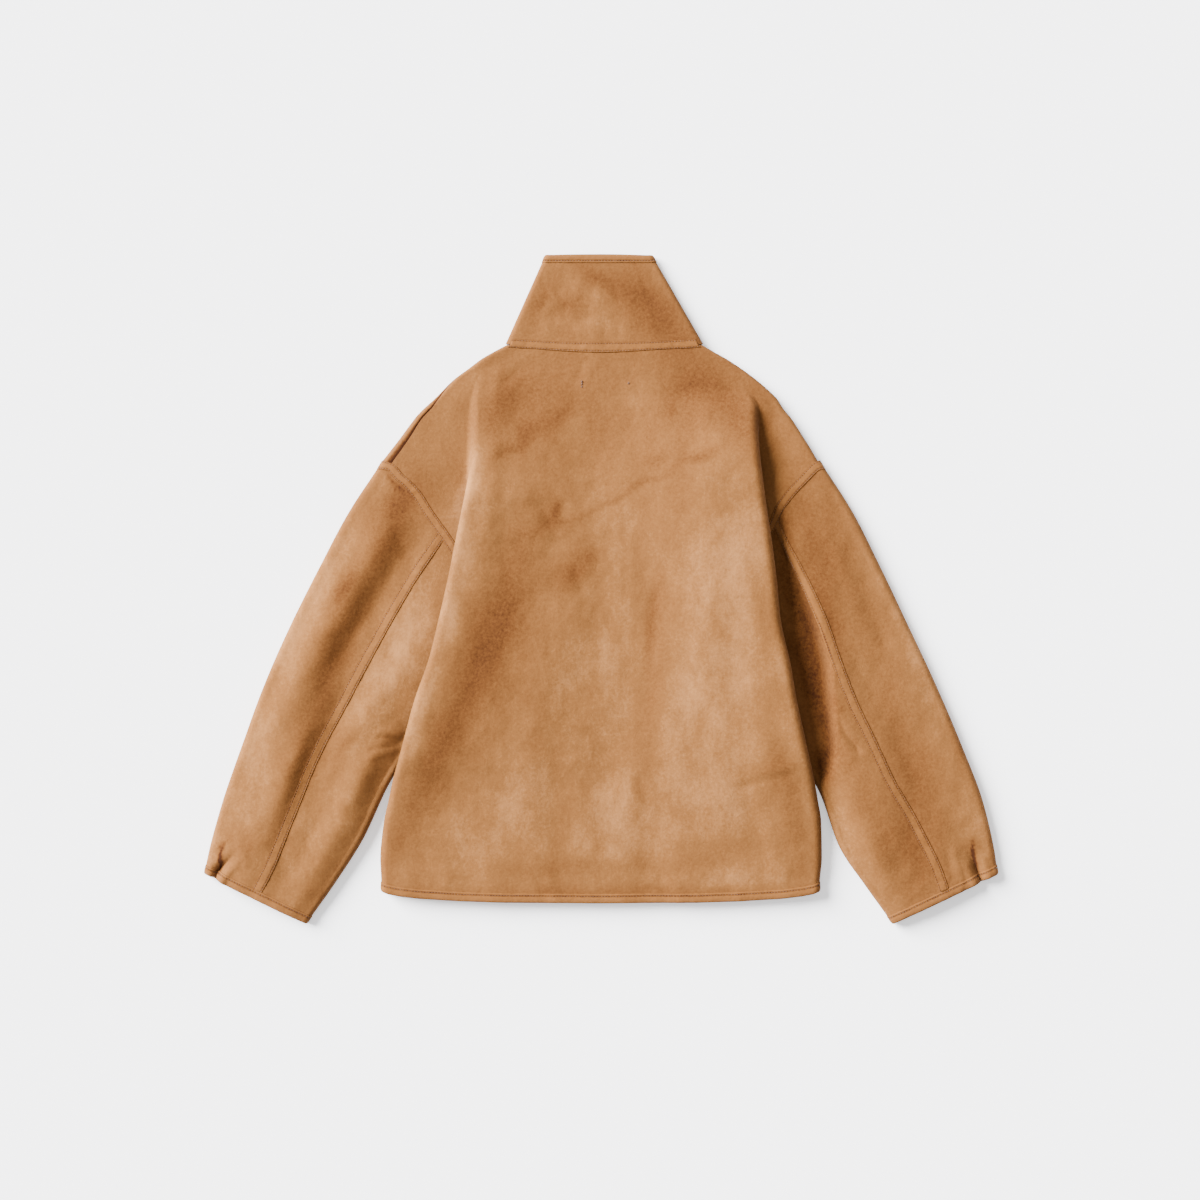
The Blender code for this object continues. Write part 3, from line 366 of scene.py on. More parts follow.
SLEEVE_CREASES_RIGHT = (
    (273, -154, 293, -182, -1.7, 4),
    (268, -162, 286, -190, 1.0, 4.5),
    (260, -120, 272, -150, -0.8, 5),
    (404, -300, 413, -330, 0.9, 4),
    (396, -306, 402, -330, -0.8, 4),
    (352, -250, 362, -280, -0.7, 6),
    (262, 60, 280, 20, 0.8, 8),
    (300, 10, 326, -60, -0.8, 10),
)

# Darker and lighter marks on the suede: place, half length, half width, turn and depth. Most give the
# cloth its own uneven brushed tone; the rows noted below are painted light, painted shade and highlight.
MARK_COLUMNS = ("x", "y", "length", "width", "turn", "depth")
NAP_AND_PAINTED_LIGHT_MARKS = (
    # Painted shade on the collar's right side.
    (57, 325, 56, 24, -52, -0.62),
    (0, 335, 90, 50, 0, -0.16),
    (0, -245, 190, 75, 0, 0.14),
    (0, -347, 240, 8, 0, -0.40),
    (0, 354, 30, 12, -30, -0.50),
    (-68, 329, 22, 9, 62, -0.45),
    (-30, 335, 26, 10, 50, -0.35),
    (-10, 303, 40, 9, 4, 0.30),
    (-22, 345, 14, 26, 80, 0.20),
    (0, 205, 200, 85, 0, -0.34),
    (134, 216, 70, 30, -45, -0.40),
    (100, 232, 38, 14, 20, -0.22),
    (-102, 216, 48, 26, 45, -0.38),
    (-125, 200, 30, 14, 62, -0.22),
    (-60, 190, 40, 14, 30, -0.34),
    (-88, 170, 20, 9, 70, -0.40),
    (-108, 158, 14, 6, 20, -0.35),
    (28, 222, 40, 18, 10, 0.22),
    (-20, 190, 30, 16, 40, 0.16),
    (-54, 89, 16, 9, 70, -0.75),
    (-60, 70, 24, 8, 15, -0.35),
    (-30, 20, 24, 14, 50, -0.55),
    (-10, 38, 12, 9, 10, -0.30),
    (33, 112, 82, 5, 27, -0.34),
    (115, 152, 22, 6, 20, -0.40),
    (78, 205, 14, 6, 60, -0.35),
    (62, 148, 16, 8, 30, -0.30),
    # Painted shade down the slope inside the left fold: these five rows.
    (-112, -23, 80, 36, 75, -0.52),
    (-90, 60, 50, 16, 80, -0.32),
    (-145, -100, 90, 27, 66, -0.50),
    (-194, -200, 70, 24, 66, -0.50),
    (-222, -280, 50, 20, 72, -0.32),
    (-74, -178, 60, 14, 80, -0.30),
    (60, -30, 45, 9, 84, -0.36),
    (57, -125, 110, 15, 86, -0.34),
    (20, -190, 55, 16, 60, -0.32),
    (45, -232, 26, 8, 80, -0.40),
    (175, 10, 50, 12, -80, -0.25),
    (205, -205, 60, 15, -78, -0.34),
    (228, -270, 60, 14, -80, -0.30),
    (185, -205, 30, 8, 12, -0.34),
    (163, -293, 60, 20, 8, -0.26),
    (-40, -318, 120, 9, 2, -0.20),
    (155, 60, 110, 24, -84, 0.34),
    (118, -10, 60, 24, -80, 0.20),
    (45, 60, 60, 24, 70, 0.20),
    (-5, -70, 60, 24, 70, 0.20),
    (-98, -235, 66, 26, 74, 0.16),
    (110, -130, 70, 26, -84, 0.24),
    (30, -250, 60, 26, 60, 0.12),
    (120, -250, 50, 20, 40, 0.14),
    # Painted highlight along the left fold's edge: these three rows.
    (-150, 108, 66, 11, 78, 0.55),
    (-165, -15, 80, 11, 74, 0.48),
    (-196, -130, 70, 11, 72, 0.40),
    (-165, -280, 50, 20, 80, 0.22),
    (-225, -310, 40, 9, 84, 0.32),
    (150, -332, 70, 8, 0, 0.20),
    (40, -295, 60, 20, 10, 0.14),
    (-252, 92, 30, 14, 40, -0.30),
    # Painted shade along the left sleeve's trough: these six rows, but for the small stain at (-292, 4).
    (-222, 106, 30, 15, 60, -0.45),
    (-238, 60, 60, 22, 62, -0.54),
    (-284, -30, 90, 24, 64, -0.52),
    (-292, 4, 22, 9, 70, -0.60),
    (-318, -125, 90, 24, 67, -0.50),
    (-348, -220, 60, 13, 70, -0.36),
    (-205, 70, 60, 9, 70, -0.15),
    (-222, -68, 66, 15, 70, 0.42),
    (-240, -150, 60, 12, 70, -0.25),
    (-262, -195, 26, 12, 60, -0.35),
    (-292, -180, 26, 7, 66, -0.35),
    (-245, -60, 70, 16, 68, 0.24),
    (-300, -250, 60, 26, 66, 0.26),
    (-330, -10, 110, 13, 62, 0.26),
    (-372, -130, 90, 14, 68, 0.24),
    (-395, -230, 70, 18, 72, 0.20),
    (-300, 90, 60, 16, 50, -0.30),
    (-402, -290, 20, 12, 30, -0.35),
    # Painted shade in the left armhole's pucker crease.
    (-234, 122, 17, 2.2, -37, -0.80),
    # Painted shade in the slits of the two cuff pleats.
    (-434, -308, 17, 2.6, 72, -1.90),
    (430, -308, 18, 2.6, -80, -1.90),
    (262, -30, 80, 14, -72, -0.50),
    (245, 60, 60, 16, -64, -0.42),
    (284, 40, 90, 20, -66, -0.24),
    (312, -60, 110, 26, -66, -0.34),
    (352, -200, 90, 26, -66, -0.46),
    (285, -185, 60, 18, -70, -0.36),
    (345, -290, 80, 34, -62, -0.66),
    (292, 118, 60, 12, -60, 0.30),
    (352, -50, 90, 10, -66, 0.26),
    (322, -250, 70, 14, -66, 0.24),
    (395, -190, 70, 12, -70, 0.16),
    (428, -295, 14, 12, 30, -0.35),
)

# The same for the right sleeve alone: painted shade in the deep valley between its ridge and the body.
VALLEY_PAINTED_SHADE = (
    (204, 70, 38, 13, -76, -0.70),
    (225, -8, 56, 20, -72, -0.72),
    (240, -80, 60, 22, -74, -0.72),
    (254, -148, 52, 18, -80, -0.72),
    (257, -204, 30, 12, -84, -0.75),
)

# Small unevenness of the cloth, and how the marks' outlines sway and tear along X and along Y.
RUMPLE_COLUMNS = ("height", "wavelength", "seed")
BACK_RUMPLE = ((0.45, 62, 11), (0.16, 21, 12))
COLLAR_RUMPLE = ((0.55, 42, 21), (0.2, 16, 22))
SLEEVE_RUMPLE = ((0.5, 58, 31), (0.18, 20, 32))
TAPE_RUMPLE = ((0.16, 13, 41),)
MARK_SWAY_X = ((2.6, 46, 3),)
MARK_SWAY_Y = ((2.6, 46, 4),)
MARK_TEAR_X = ((0.9, 7, 5),)
MARK_TEAR_Y = ((0.9, 7, 6),)

# Steps of the sheets.
NECK_ROWS = 44
ARMHOLE_ROW_COUNT = 104
SIDE_ROW_COUNT = 84
TOP_STEPS = 58
ROLL_STEPS = 12
UNDER_STEPS = 10
CREASE_STEPS = 8
LOWER_STEPS = 14
WRAP_STEPS = 6
FOLD_STEPS = 9
FRONT_STEPS = 26
SLEEVE_ROW_COUNT = 112
COLLAR_STEPS = 26


def smoothstep(t: Array) -> Array:
    """Rise from 0 to 1 with level ends: t squared times (3 - 2t)."""
    t = np.clip(t, 0.0, 1.0)
    return t * t * (3 - 2 * t)


def curve(x: Array, knots: Array, values: Array) -> Array:
    """Smooth curve through the knots.

    Each span is the cubic with the values and slopes of its two knots; the slope at a knot is
    the harmonic mean of its neighbours' slopes, or 0 where they differ in sign.

    Args:
        x: where the curve is wanted.
        knots: increasing places of the given values.
        values: the values there.

    Returns:
        The curve's values at x.
    """
    knots = np.asarray(knots, dtype=float)
    values = np.asarray(values, dtype=float)
    widths = np.diff(knots)
    slopes = np.diff(values) / widths
    before, after = slopes[:-1], slopes[1:]
    same_way = before * after > 0
    total = np.where(same_way, before + after, 1.0)
    inner = np.where(same_way, 2 * before * after / total, 0.0)
    tangents = np.concatenate((slopes[:1], inner, slopes[-1:]))
    k = np.clip(np.searchsorted(knots, x) - 1, 0, len(widths) - 1)
    w = widths[k]
    t = np.clip((x - knots[k]) / w, 0.0, 1.0)
    start = (1 + 2 * t) * (1 - t) ** 2 * values[k] + t * (1 - t) ** 2 * w * tangents[k]
    end = t * t * (3 - 2 * t) * values[k + 1] + t * t * (t - 1) * w * tangents[k + 1]
    return start + end


def read(rows: tuple, names: tuple, y: Array) -> dict:
    """Values of a table's named columns at y, as smooth curves through its rows."""
    table = np.array(sorted(rows), dtype=float)
    return {name: curve(y, table[:, 0], table[:, k]) for k, name in enumerate(names)}


def unit(vectors: Array) -> Array:
    """Vectors of length 1."""
    return vectors / np.maximum(np.linalg.norm(vectors, axis=-1, keepdims=True), 1e-9)


def waves_at(table: tuple, x: Array, y: Array) -> Array:
    """Sum of the folds in a table: exp(-(across^2 + beyond^2) / width^2) times each height.

    Args:
        table: rows with WAVE_COLUMNS.
        x: across the coat.
        y: up the coat.

    Returns:
        The height that the folds add at each point.
    """
    total = np.zeros_like(x)
    for row in table:
        wave = dict(zip(WAVE_COLUMNS, row))
        run = np.array((wave["x1"] - wave["x0"], wave["y1"] - wave["y0"]), dtype=float)
        length = np.hypot(*run)
        along = ((x - wave["x0"]) * run[0] + (y - wave["y0"]) * run[1]) / length
        across = ((x - wave["x0"]) * run[1] - (y - wave["y0"]) * run[0]) / length
        beyond = np.maximum(np.maximum(-along, along - length), 0.0)
        total += wave["height"] * np.exp(-(across**2 + beyond**2) / wave["width"] ** 2)
    return total


def ripple(x: Array, y: Array, wavelength: float, seed: int, count: int = 14) -> Array:
    """Uneven rippling: the sum of sines in seeded directions, sin(k . p + phase) / sqrt(count).

    Args:
        x: across the coat.
        y: up the coat.
        wavelength: middling distance between two crests.
        seed: number that the directions, phases and wavelengths are drawn from.
        count: how many sines.

    Returns:
        The rippling, mostly between -1 and 1.
    """
    rng = np.random.default_rng(seed)
    turn = rng.uniform(0, 2 * np.pi, count)
    phase = rng.uniform(0, 2 * np.pi, count)
    wave = 2 * np.pi / (wavelength * rng.uniform(0.7, 1.5, count))
    total = np.zeros_like(x)
    for k in range(count):
        total += np.sin(wave[k] * (np.cos(turn[k]) * x + np.sin(turn[k]) * y) + phase[k])
    return total / np.sqrt(count)


def rumple(x: Array, y: Array, table: tuple) -> Array:
    """Height of slightly crumpled cloth: the sum of height * ripple over the table's rows.

    Args:
        x: across the coat.
        y: up the coat.
        table: rows with RUMPLE_COLUMNS.

    Returns:
        The height that it adds at each point.
    """
    total = np.zeros_like(x)
    for row in table:
        wave = dict(zip(RUMPLE_COLUMNS, row))
        total += wave["height"] * ripple(x, y, wave["wavelength"], wave["seed"])
    return total


def nap_and_painted_light_at(points: Array, marks: tuple = NAP_AND_PAINTED_LIGHT_MARKS) -> Array:
    """How dark or light the suede is at each point, from -1 for dark to 1 for light, painted shade and
    highlights included.

    Each mark is a bell exp(-(u / length)^2 - (v / width)^2) in its own turned axes, and the
    points are first shifted by ripples, so that no mark has a smooth outline.

    Args:
        points: where it is wanted, in millimetres.
        marks: rows with MARK_COLUMNS.

    Returns:
        The sum of the marks at each point.
    """
    x, y = points[..., 0], points[..., 1]
    x, y = x + rumple(x, y, MARK_SWAY_X), y + rumple(x, y, MARK_SWAY_Y)
    x = x + rumple(x, y, MARK_TEAR_X)
    y = y + rumple(x, y, MARK_TEAR_Y)
    total = np.zeros_like(x)
    for row in marks:
        mark = dict(zip(MARK_COLUMNS, row))
        turn = np.radians(mark["turn"])
        u = (x - mark["x"]) * np.cos(turn) + (y - mark["y"]) * np.sin(turn)
        v = (y - mark["y"]) * np.cos(turn) - (x - mark["x"]) * np.sin(turn)
        total += mark["depth"] * np.exp(-((u / mark["length"]) ** 2) - (v / mark["width"]) ** 2)
    return total


def walk(start: tuple, headings: Array, step: Array) -> tuple:
    """Points of paths walked in steps: start plus the running sum of (cos, sin) * step.

    Args:
        start: each section's first distance out and height.
        headings: angles of each section's steps, a row for each section.
        step: each section's length of step.

    Returns:
        Distances out and heights after each step.
    """
    out = start[0][:, None] + np.cumsum(np.cos(headings) * step[:, None], axis=1)
    up = start[1][:, None] + np.cumsum(np.sin(headings) * step[:, None], axis=1)
    return out, up


def turning(first: Array, last: Array, steps: int) -> Array:
    """Headings at the middle of each step of a turn from first to last."""
    middle = (np.arange(steps) + 0.5) / steps
    return first[:, None] + (last - first)[:, None] * middle[None, :]


def body_rows() -> Array:
    """Distances up the coat of the body's rows, evenly spaced between the outline's turns.

    Returns:
        The distances, from the neck down to the hem.
    """
    return np.concatenate(
        (
            np.linspace(NECK_Y, SHOULDER_TIP_Y, NECK_ROWS + 1),
            np.linspace(SHOULDER_TIP_Y, ARMPIT_Y, ARMHOLE_ROW_COUNT + 1)[1:],
            np.linspace(ARMPIT_Y, PANEL_END_Y, SIDE_ROW_COUNT + 1)[1:],
        )
    )


TIP_ROW = NECK_ROWS
ARMPIT_ROW = NECK_ROWS + ARMHOLE_ROW_COUNT
SIDE_SEAM = TOP_STEPS + ROLL_STEPS + UNDER_STEPS


class Side(Enum):
    """The two halves of the coat as seen from above, with the sign of X."""

    LEFT = -1.0
    RIGHT = 1.0

    @property
    def word(self) -> str:
        """The half's name in piece names."""
        return self.name.lower()


# ---------------------------------------------------------------- finishes


def linear(hex_colour: str) -> tuple:
    """Turn an sRGB hex colour to linear values.

    Args:
        hex_colour: the colour as #RRGGBB.

    Returns:
        Linear red, green and blue, and alpha.
    """
    values = [int(hex_colour[k : k + 2], 16) / 255 for k in (1, 3, 5)]
    bent = [v / 12.92 if v <= 0.04045 else ((v + 0.055) / 1.055) ** 2.4 for v in values]
    return (*bent, 1.0)


def add_node(tree: bpy.types.NodeTree, kind: str, settings: dict, links: dict) -> bpy.types.Node:
    """Add a node.

    Args:
        tree: the node tree.
        kind: the node's type.
        settings: property names, or input names or numbers, with their values.
        links: input names or numbers with the output sockets they take.

    Returns:
        The new node.
    """
    node = tree.nodes.new(kind)
    for name, value in settings.items():
        if isinstance(name, str) and hasattr(node, name):
            setattr(node, name, value)
        else:
            node.inputs[name].default_value = value
    for name, socket in links.items():
        tree.links.new(socket, node.inputs[name])
    return node


def add_sums(tree: bpy.types.NodeTree, found: dict, sums: tuple) -> None:
    """Add a node for each sum: result = pattern * factor + rest.

    Args:
        tree: the node tree.
        found: the patterns and results so far, as output sockets by name; it takes the new ones.
        sums: result, pattern, factor and rest, where factor and rest are numbers or names.
    """
    for result, pattern, factor, rest in sums:
        settings, links = {"operation": "MULTIPLY_ADD"}, {0: found[pattern]}
        for socket, term in ((1, factor), (2, rest)):
            if isinstance(term, str):
                links[socket] = found[term]
            else:
                settings[socket] = term
        found[result] = add_node(tree, "ShaderNodeMath", settings, links).outputs[0]


@dataclass(frozen=True)
class Finish:
    """A named finish, with the steps that every finish shares."""

    name: str

    def start(self) -> tuple:
        """Make the material.

        Returns:
            The material, its node tree, its shader and its object coordinates.
        """
        material = bpy.data.materials.new(self.name)
        material.use_nodes = True
        tree = material.node_tree
        place = add_node(tree, "ShaderNodeTexCoord", {}, {}).outputs["Object"]
        return material, tree, tree.nodes["Principled BSDF"], place

    def colour(self, tree: bpy.types.NodeTree, tone: bpy.types.NodeSocket, stops: tuple) -> None:
        """Colour the surface by its tone.

        Args:
            tree: the node tree.
            tone: the pattern's output.
            stops: rising places from 0 to 1, each with a linear colour.
        """
        ramp = add_node(tree, "ShaderNodeValToRGB", {}, {"Fac": tone})
        elements = ramp.color_ramp.elements
        for element, (place, shade) in zip(elements, (stops[0], stops[-1])):
            element.position = place
            element.color = shade
        for place, shade in stops[1:-1]:
            elements.new(place).color = shade
        tree.links.new(ramp.outputs["Color"], tree.nodes["Principled BSDF"].inputs["Base Color"])

    def raise_surface(
        self, tree: bpy.types.NodeTree, height: bpy.types.NodeSocket, strength: float, depth_mm: float
    ) -> None:
        """Raise the surface where its pattern is high.

        Args:
            tree: the node tree.
            height: the pattern's output.
            strength: how strongly it shows.
            depth_mm: the depth that the pattern's 0 to 1 stands for.
        """
        settings = {"Strength": strength, "Distance": depth_mm * MM}
        bump = add_node(tree, "ShaderNodeBump", settings, {"Height": height})
        tree.links.new(bump.outputs["Normal"], tree.nodes["Principled BSDF"].inputs["Normal"])

    def settle(self, shader: bpy.types.Node, values: dict) -> None:
        """Set the sockets that are the same all over the surface."""
        for name, value in values.items():
            shader.inputs[name].default_value = value


@dataclass(frozen=True)
class Suede(Finish):
    """Faux suede: polyester microfibre, knitted, then sanded and brushed on its face.

    Its standing fibres scatter light, so it is matt with hardly a sheen, and where a hand rubbed
    them the other way it shows darker, in patches with torn edges. Polyester's IOR is near the
    default 1.5. Fibres of 0.02 mm are too fine to show, so the weave is drawn at 0.9 mm.
    """

    dark: str
    rubbed: str
    middle: str
    light: str
    thread_mm: float = 0.9
    fleck_mm: float = 3.4
    crush_mm: float = 11.0
    mottle_mm: float = 34.0
    cloud_mm: float = 108.8
    mottle: float = 1.0

    def make(self) -> bpy.types.Material:
        """Build the suede's node tree.

        The tone is a middle value, plus clouds, patches and flecks by their shares, plus the mesh's mark,
        which holds brushed tone with painted shade and highlights, times how torn the cloth is there:
        more on a patch and less on a fleck.

        Returns:
            The material.
        """
        material, tree, shader, place = self.start()
        # The cloth was brushed along its length, so its patches are longer than wide.
        squeeze = {"operation": "MULTIPLY", 1: (1.0, 0.5, 1.0)}
        brushed = add_node(tree, "ShaderNodeVectorMath", squeeze, {0: place}).outputs[0]
        patterns = {
            "cloud": (self.cloud_mm, 4.0, 0.6, 0.3, brushed),
            "patch": (self.mottle_mm, 9.0, 0.72, 0.15, brushed),
            "fleck": (self.fleck_mm, 4.0, 0.72, 0.0, place),
            "weave": (self.thread_mm, 2.0, 0.6, 0.0, place),
            "crush": (self.crush_mm, 5.0, 0.62, 0.6, place),
        }
        found = {"nap_and_painted_light": add_node(tree, "ShaderNodeAttribute", {"attribute_name": "nap_and_painted_light"}, {}).outputs["Fac"]}
        for name, (size_mm, detail, rough, warp, where) in patterns.items():
            settings = {"Scale": 1 / (size_mm * MM), "Detail": detail, "Roughness": rough, "Distortion": warp}
            found[name] = add_node(tree, "ShaderNodeTexNoise", settings, {"Vector": where}).outputs["Fac"]
        sums = (
            ("torn", "patch", 1.5, 0.16),
            ("torn", "fleck", -0.4, "torn"),
            ("mark", "nap_and_painted_light", "torn", 0.0),
            ("tone", "cloud", 0.34 * self.mottle, 0.31 - 0.44 * self.mottle),
            ("tone", "patch", 0.54 * self.mottle, "tone"),
            ("tone", "fleck", 0.38, "tone"),
            ("tone", "mark", 0.50, "tone"),
            ("relief", "weave", 0.18, "crush"),
        )
        add_sums(tree, found, sums)
        # The darker stops colour both rubbed patches and the painted shade that the mesh's marks carry.
        stops = ((0.06, self.dark), (0.24, self.rubbed), (0.52, self.middle), (0.90, self.light))
        self.colour(tree, found["tone"], [(at, linear(shade)) for at, shade in stops])
        self.raise_surface(tree, found["relief"], 0.5, 1.2)
        self.settle(shader, {"Roughness": 0.92, "Specular IOR Level": 0.10, "Sheen Weight": 0.05})
        self.settle(shader, {"Sheen Roughness": 0.45, "Sheen Tint": linear("#F3D9BC")})
        return material


@dataclass(frozen=True)
class Pile(Finish):
    """Faux shearling: acrylic pile, knitted in and curled.

    It shows matt tufts a few millimetres across, with dark roots between them.
    """

    root: str
    tip: str
    curl_mm: float = 3.4
    strand_mm: float = 1.1
    sway_mm: float = 4.0

    def make(self) -> bpy.types.Material:
        """Build the pile's node tree: cells for the tufts, swayed by noise, with fine strands.

        Returns:
            The material.
        """
        material, tree, shader, place = self.start()
        settings = {"Scale": 1 / (self.curl_mm * 3 * MM), "Detail": 2.0}
        swirl = add_node(tree, "ShaderNodeTexNoise", settings, {"Vector": place}).outputs["Color"]
        settings = {"operation": "MULTIPLY_ADD", 1: (self.sway_mm * MM,) * 3}
        moved = add_node(tree, "ShaderNodeVectorMath", settings, {0: swirl, 2: place}).outputs[0]
        settings = {"feature": "F1", "Scale": 1 / (self.curl_mm * MM)}
        tuft = add_node(tree, "ShaderNodeTexVoronoi", settings, {"Vector": moved}).outputs["Distance"]
        settings = {"Scale": 1 / (self.strand_mm * MM), "Detail": 3.0, "Roughness": 0.7}
        strand = add_node(tree, "ShaderNodeTexNoise", settings, {"Vector": moved}).outputs["Fac"]
        found = {"tuft": tuft, "strand": strand}
        add_sums(tree, found, (("height", "tuft", -0.8, "strand"),))
        self.colour(tree, found["height"], ((0.0, linear(self.root)), (0.5, linear(self.tip))))
        self.raise_surface(tree, found["height"], 0.8, 1.8)
        self.settle(shader, {"Roughness": 0.95, "Specular IOR Level": 0.15, "Sheen Weight": 0.3})
        self.settle(shader, {"Sheen Roughness": 0.5})
        return material


@dataclass(frozen=True)
class Thread(Finish):
    """Spun polyester sewing thread: two plies twisted, which gives it fine dark turns."""

    shade: str
    ply_mm: float = 0.5

    def make(self) -> bpy.types.Material:
        """Build the thread's node tree: the plies are bands of a sine wave.

        Returns:
            The material.
        """
        material, tree, shader, place = self.start()
        settings = {"Scale": 1 / (self.ply_mm * MM) / 6.28, "Distortion": 1.0}
        ply = add_node(tree, "ShaderNodeTexWave", settings, {"Vector": place}).outputs["Fac"]
        face = linear(self.shade)
        self.colour(tree, ply, ((0.0, (*(0.75 * c for c in face[:3]), 1.0)), (1.0, face)))
        self.settle(shader, {"Roughness": 0.6, "Sheen Weight": 0.15})
        return material


@dataclass(frozen=True)
class Paper(Finish):
    """Matt white backdrop on a light table, so that it stays pale beneath the coat's shadow."""

    shade: str
    glow: float

    def make(self) -> bpy.types.Material:
        """Build the paper's material.

        Returns:
            The material.
        """
        material, _, shader, _ = self.start()
        face = linear(self.shade)
        self.settle(shader, {"Base Color": face, "Roughness": 0.9, "Specular IOR Level": 0.1})
        self.settle(shader, {"Emission Color": face, "Emission Strength": self.glow})
        return material


@dataclass
class Finishes:
    """Every material of the coat, made once."""

    suede: bpy.types.Material
    trim: bpy.types.Material
    pile: bpy.types.Material
    thread: bpy.types.Material


# ---------------------------------------------------------------- meshes


def mesh_of(name: str, points: Array, quads: Array, materials: list, indices: Array) -> bpy.types.Object:
    """A smooth mesh object from points in millimetres and an array of four-cornered faces.

    Args:
        name: the object's name.
        points: one row of x, y, z for each vertex.
        quads: one row of four vertex numbers for each face.
        materials: the object's materials.
        indices: the material's number for each face.

    Returns:
        The new object, linked to the scene.
    """
    mesh = bpy.data.meshes.new(name)
    mesh.vertices.add(len(points))
    mesh.vertices.foreach_set("co", (points * MM).astype(np.float32).ravel())
    mesh.loops.add(quads.size)
    mesh.loops.foreach_set("vertex_index", quads.astype(np.int32).ravel())
    mesh.polygons.add(len(quads))
    mesh.polygons.foreach_set("loop_start", np.arange(0, quads.size, 4, dtype=np.int32))
    mesh.polygons.foreach_set("material_index", np.asarray(indices, dtype=np.int32))
    for material in materials:
        mesh.materials.append(material)
    mesh.update(calc_edges=True)
    mesh.validate()
    mesh.shade_smooth()
    obj = bpy.data.objects.new(name, mesh)
    bpy.context.scene.collection.objects.link(obj)
    return obj


def set_nap_and_painted_light(obj: bpy.types.Object, values: Array) -> None:
    """Store at each vertex how dark or light the suede is, painted shade and highlights included."""
    attribute = obj.data.attributes.new("nap_and_painted_light", "FLOAT", "POINT")
    attribute.data.foreach_set("value", values.astype(np.float32).ravel())


def normals_of(grid: Array, up_at: tuple, upward: bool = True) -> Array:
    """Unit normals of a grid: the cross product of its two directions.

    Args:
        grid: rows and columns of points.
        up_at: the row and column where the outer face is known to look up or down.
        upward: whether it looks up there.

    Returns:
        The outward normals.
    """
    normals = unit(np.cross(np.gradient(grid, axis=0), np.gradient(grid, axis=1)))
    looks_up = normals[up_at][2] > 0
    return normals if looks_up == upward else -normals


def wall(
    name: str,
    grid: Array,
    normals: Array,
    finishes: Finishes,
    keep: Array | None = None,
    outside: Array | float = CLOTH / 2,
    nap_and_painted_light: Array | None = None,
) -> bpy.types.Object:
    """A cloth wall round a grid of middle points: outer face, inner face and edges.

    Outer points are P + n * outside and inner points P - n * half the cloth.

    Args:
        name: the piece's name.
        grid: middle points.
        normals: outward unit normals.
        finishes: the coat's materials.
        keep: which of the grid's faces there are.
        outside: how far the outer face stands from the middle.
        nap_and_painted_light: how dark or light the suede is at each point, painted shade and highlights
            included.

    Returns:
        The wall's object.
    """
    rows, columns = grid.shape[:2]
    if keep is None:
        keep = np.ones((rows - 1, columns - 1), dtype=bool)
    outside = np.broadcast_to(outside, (rows, columns))[..., None]
    outer = grid + normals * outside
    inner = grid - normals * CLOTH / 2
    outer[..., 2] = np.maximum(outer[..., 2], 0.0)
    index = np.arange(rows * columns).reshape(rows, columns)
    quads = np.stack((index[:-1, :-1], index[1:, :-1], index[1:, 1:], index[:-1, 1:]), axis=-1)[keep]
    corner = quads[len(quads) // 2]
    flat = outer.reshape(-1, 3)
    facing = np.cross(flat[corner[1]] - flat[corner[0]], flat[corner[3]] - flat[corner[0]])
    if np.dot(facing, normals.reshape(-1, 3)[corner[0]]) < 0:
        quads = quads[:, ::-1]
    total = rows * columns
    starts = quads.ravel()
    ends = np.roll(quads, -1, axis=1).ravel()
    single = ~np.isin(starts * total + ends, ends * total + starts)
    a, b = starts[single], ends[single]
    rim = np.stack((b, a, a + total, b + total), axis=1)
    faces = np.concatenate((quads, quads[:, ::-1] + total, rim))
    points = np.concatenate((flat, inner.reshape(-1, 3)))
    used, compact = np.unique(faces, return_inverse=True)
    indices = np.concatenate((np.zeros(len(quads)), np.ones(len(quads)), np.zeros(len(rim))))
    obj = mesh_of(name, points[used], compact.reshape(faces.shape), [finishes.suede, finishes.pile], indices)
    if nap_and_painted_light is not None:
        set_nap_and_painted_light(obj, np.concatenate((nap_and_painted_light.ravel(), nap_and_painted_light.ravel()))[used])
    cut = np.stack((a, b), axis=1)
    sharpen(obj, np.searchsorted(used, cut), np.searchsorted(used, cut + total))
    return obj


def sharpen(obj: bpy.types.Object, *edges: Array) -> None:
    """Mark edges as sharp, so that a cut edge shades crisply.

    Args:
        obj: the mesh object.
        edges: arrays with the two vertex numbers of an edge in each row.
    """
    mesh = obj.data
    count = len(mesh.vertices)
    ends = np.empty(len(mesh.edges) * 2, dtype=np.int32)
    mesh.edges.foreach_get("vertices", ends)
    ends = np.sort(ends.reshape(-1, 2).astype(np.int64), axis=1)
    wanted = np.sort(np.concatenate(edges), axis=1)
    sharp = np.isin(ends[:, 0] * count + ends[:, 1], wanted[:, 0] * count + wanted[:, 1])
    attribute = mesh.attributes.new("sharp_edge", "BOOLEAN", "EDGE")
    attribute.data.foreach_set("value", sharp)


CAP_SIZES = (0.02, 0.6)


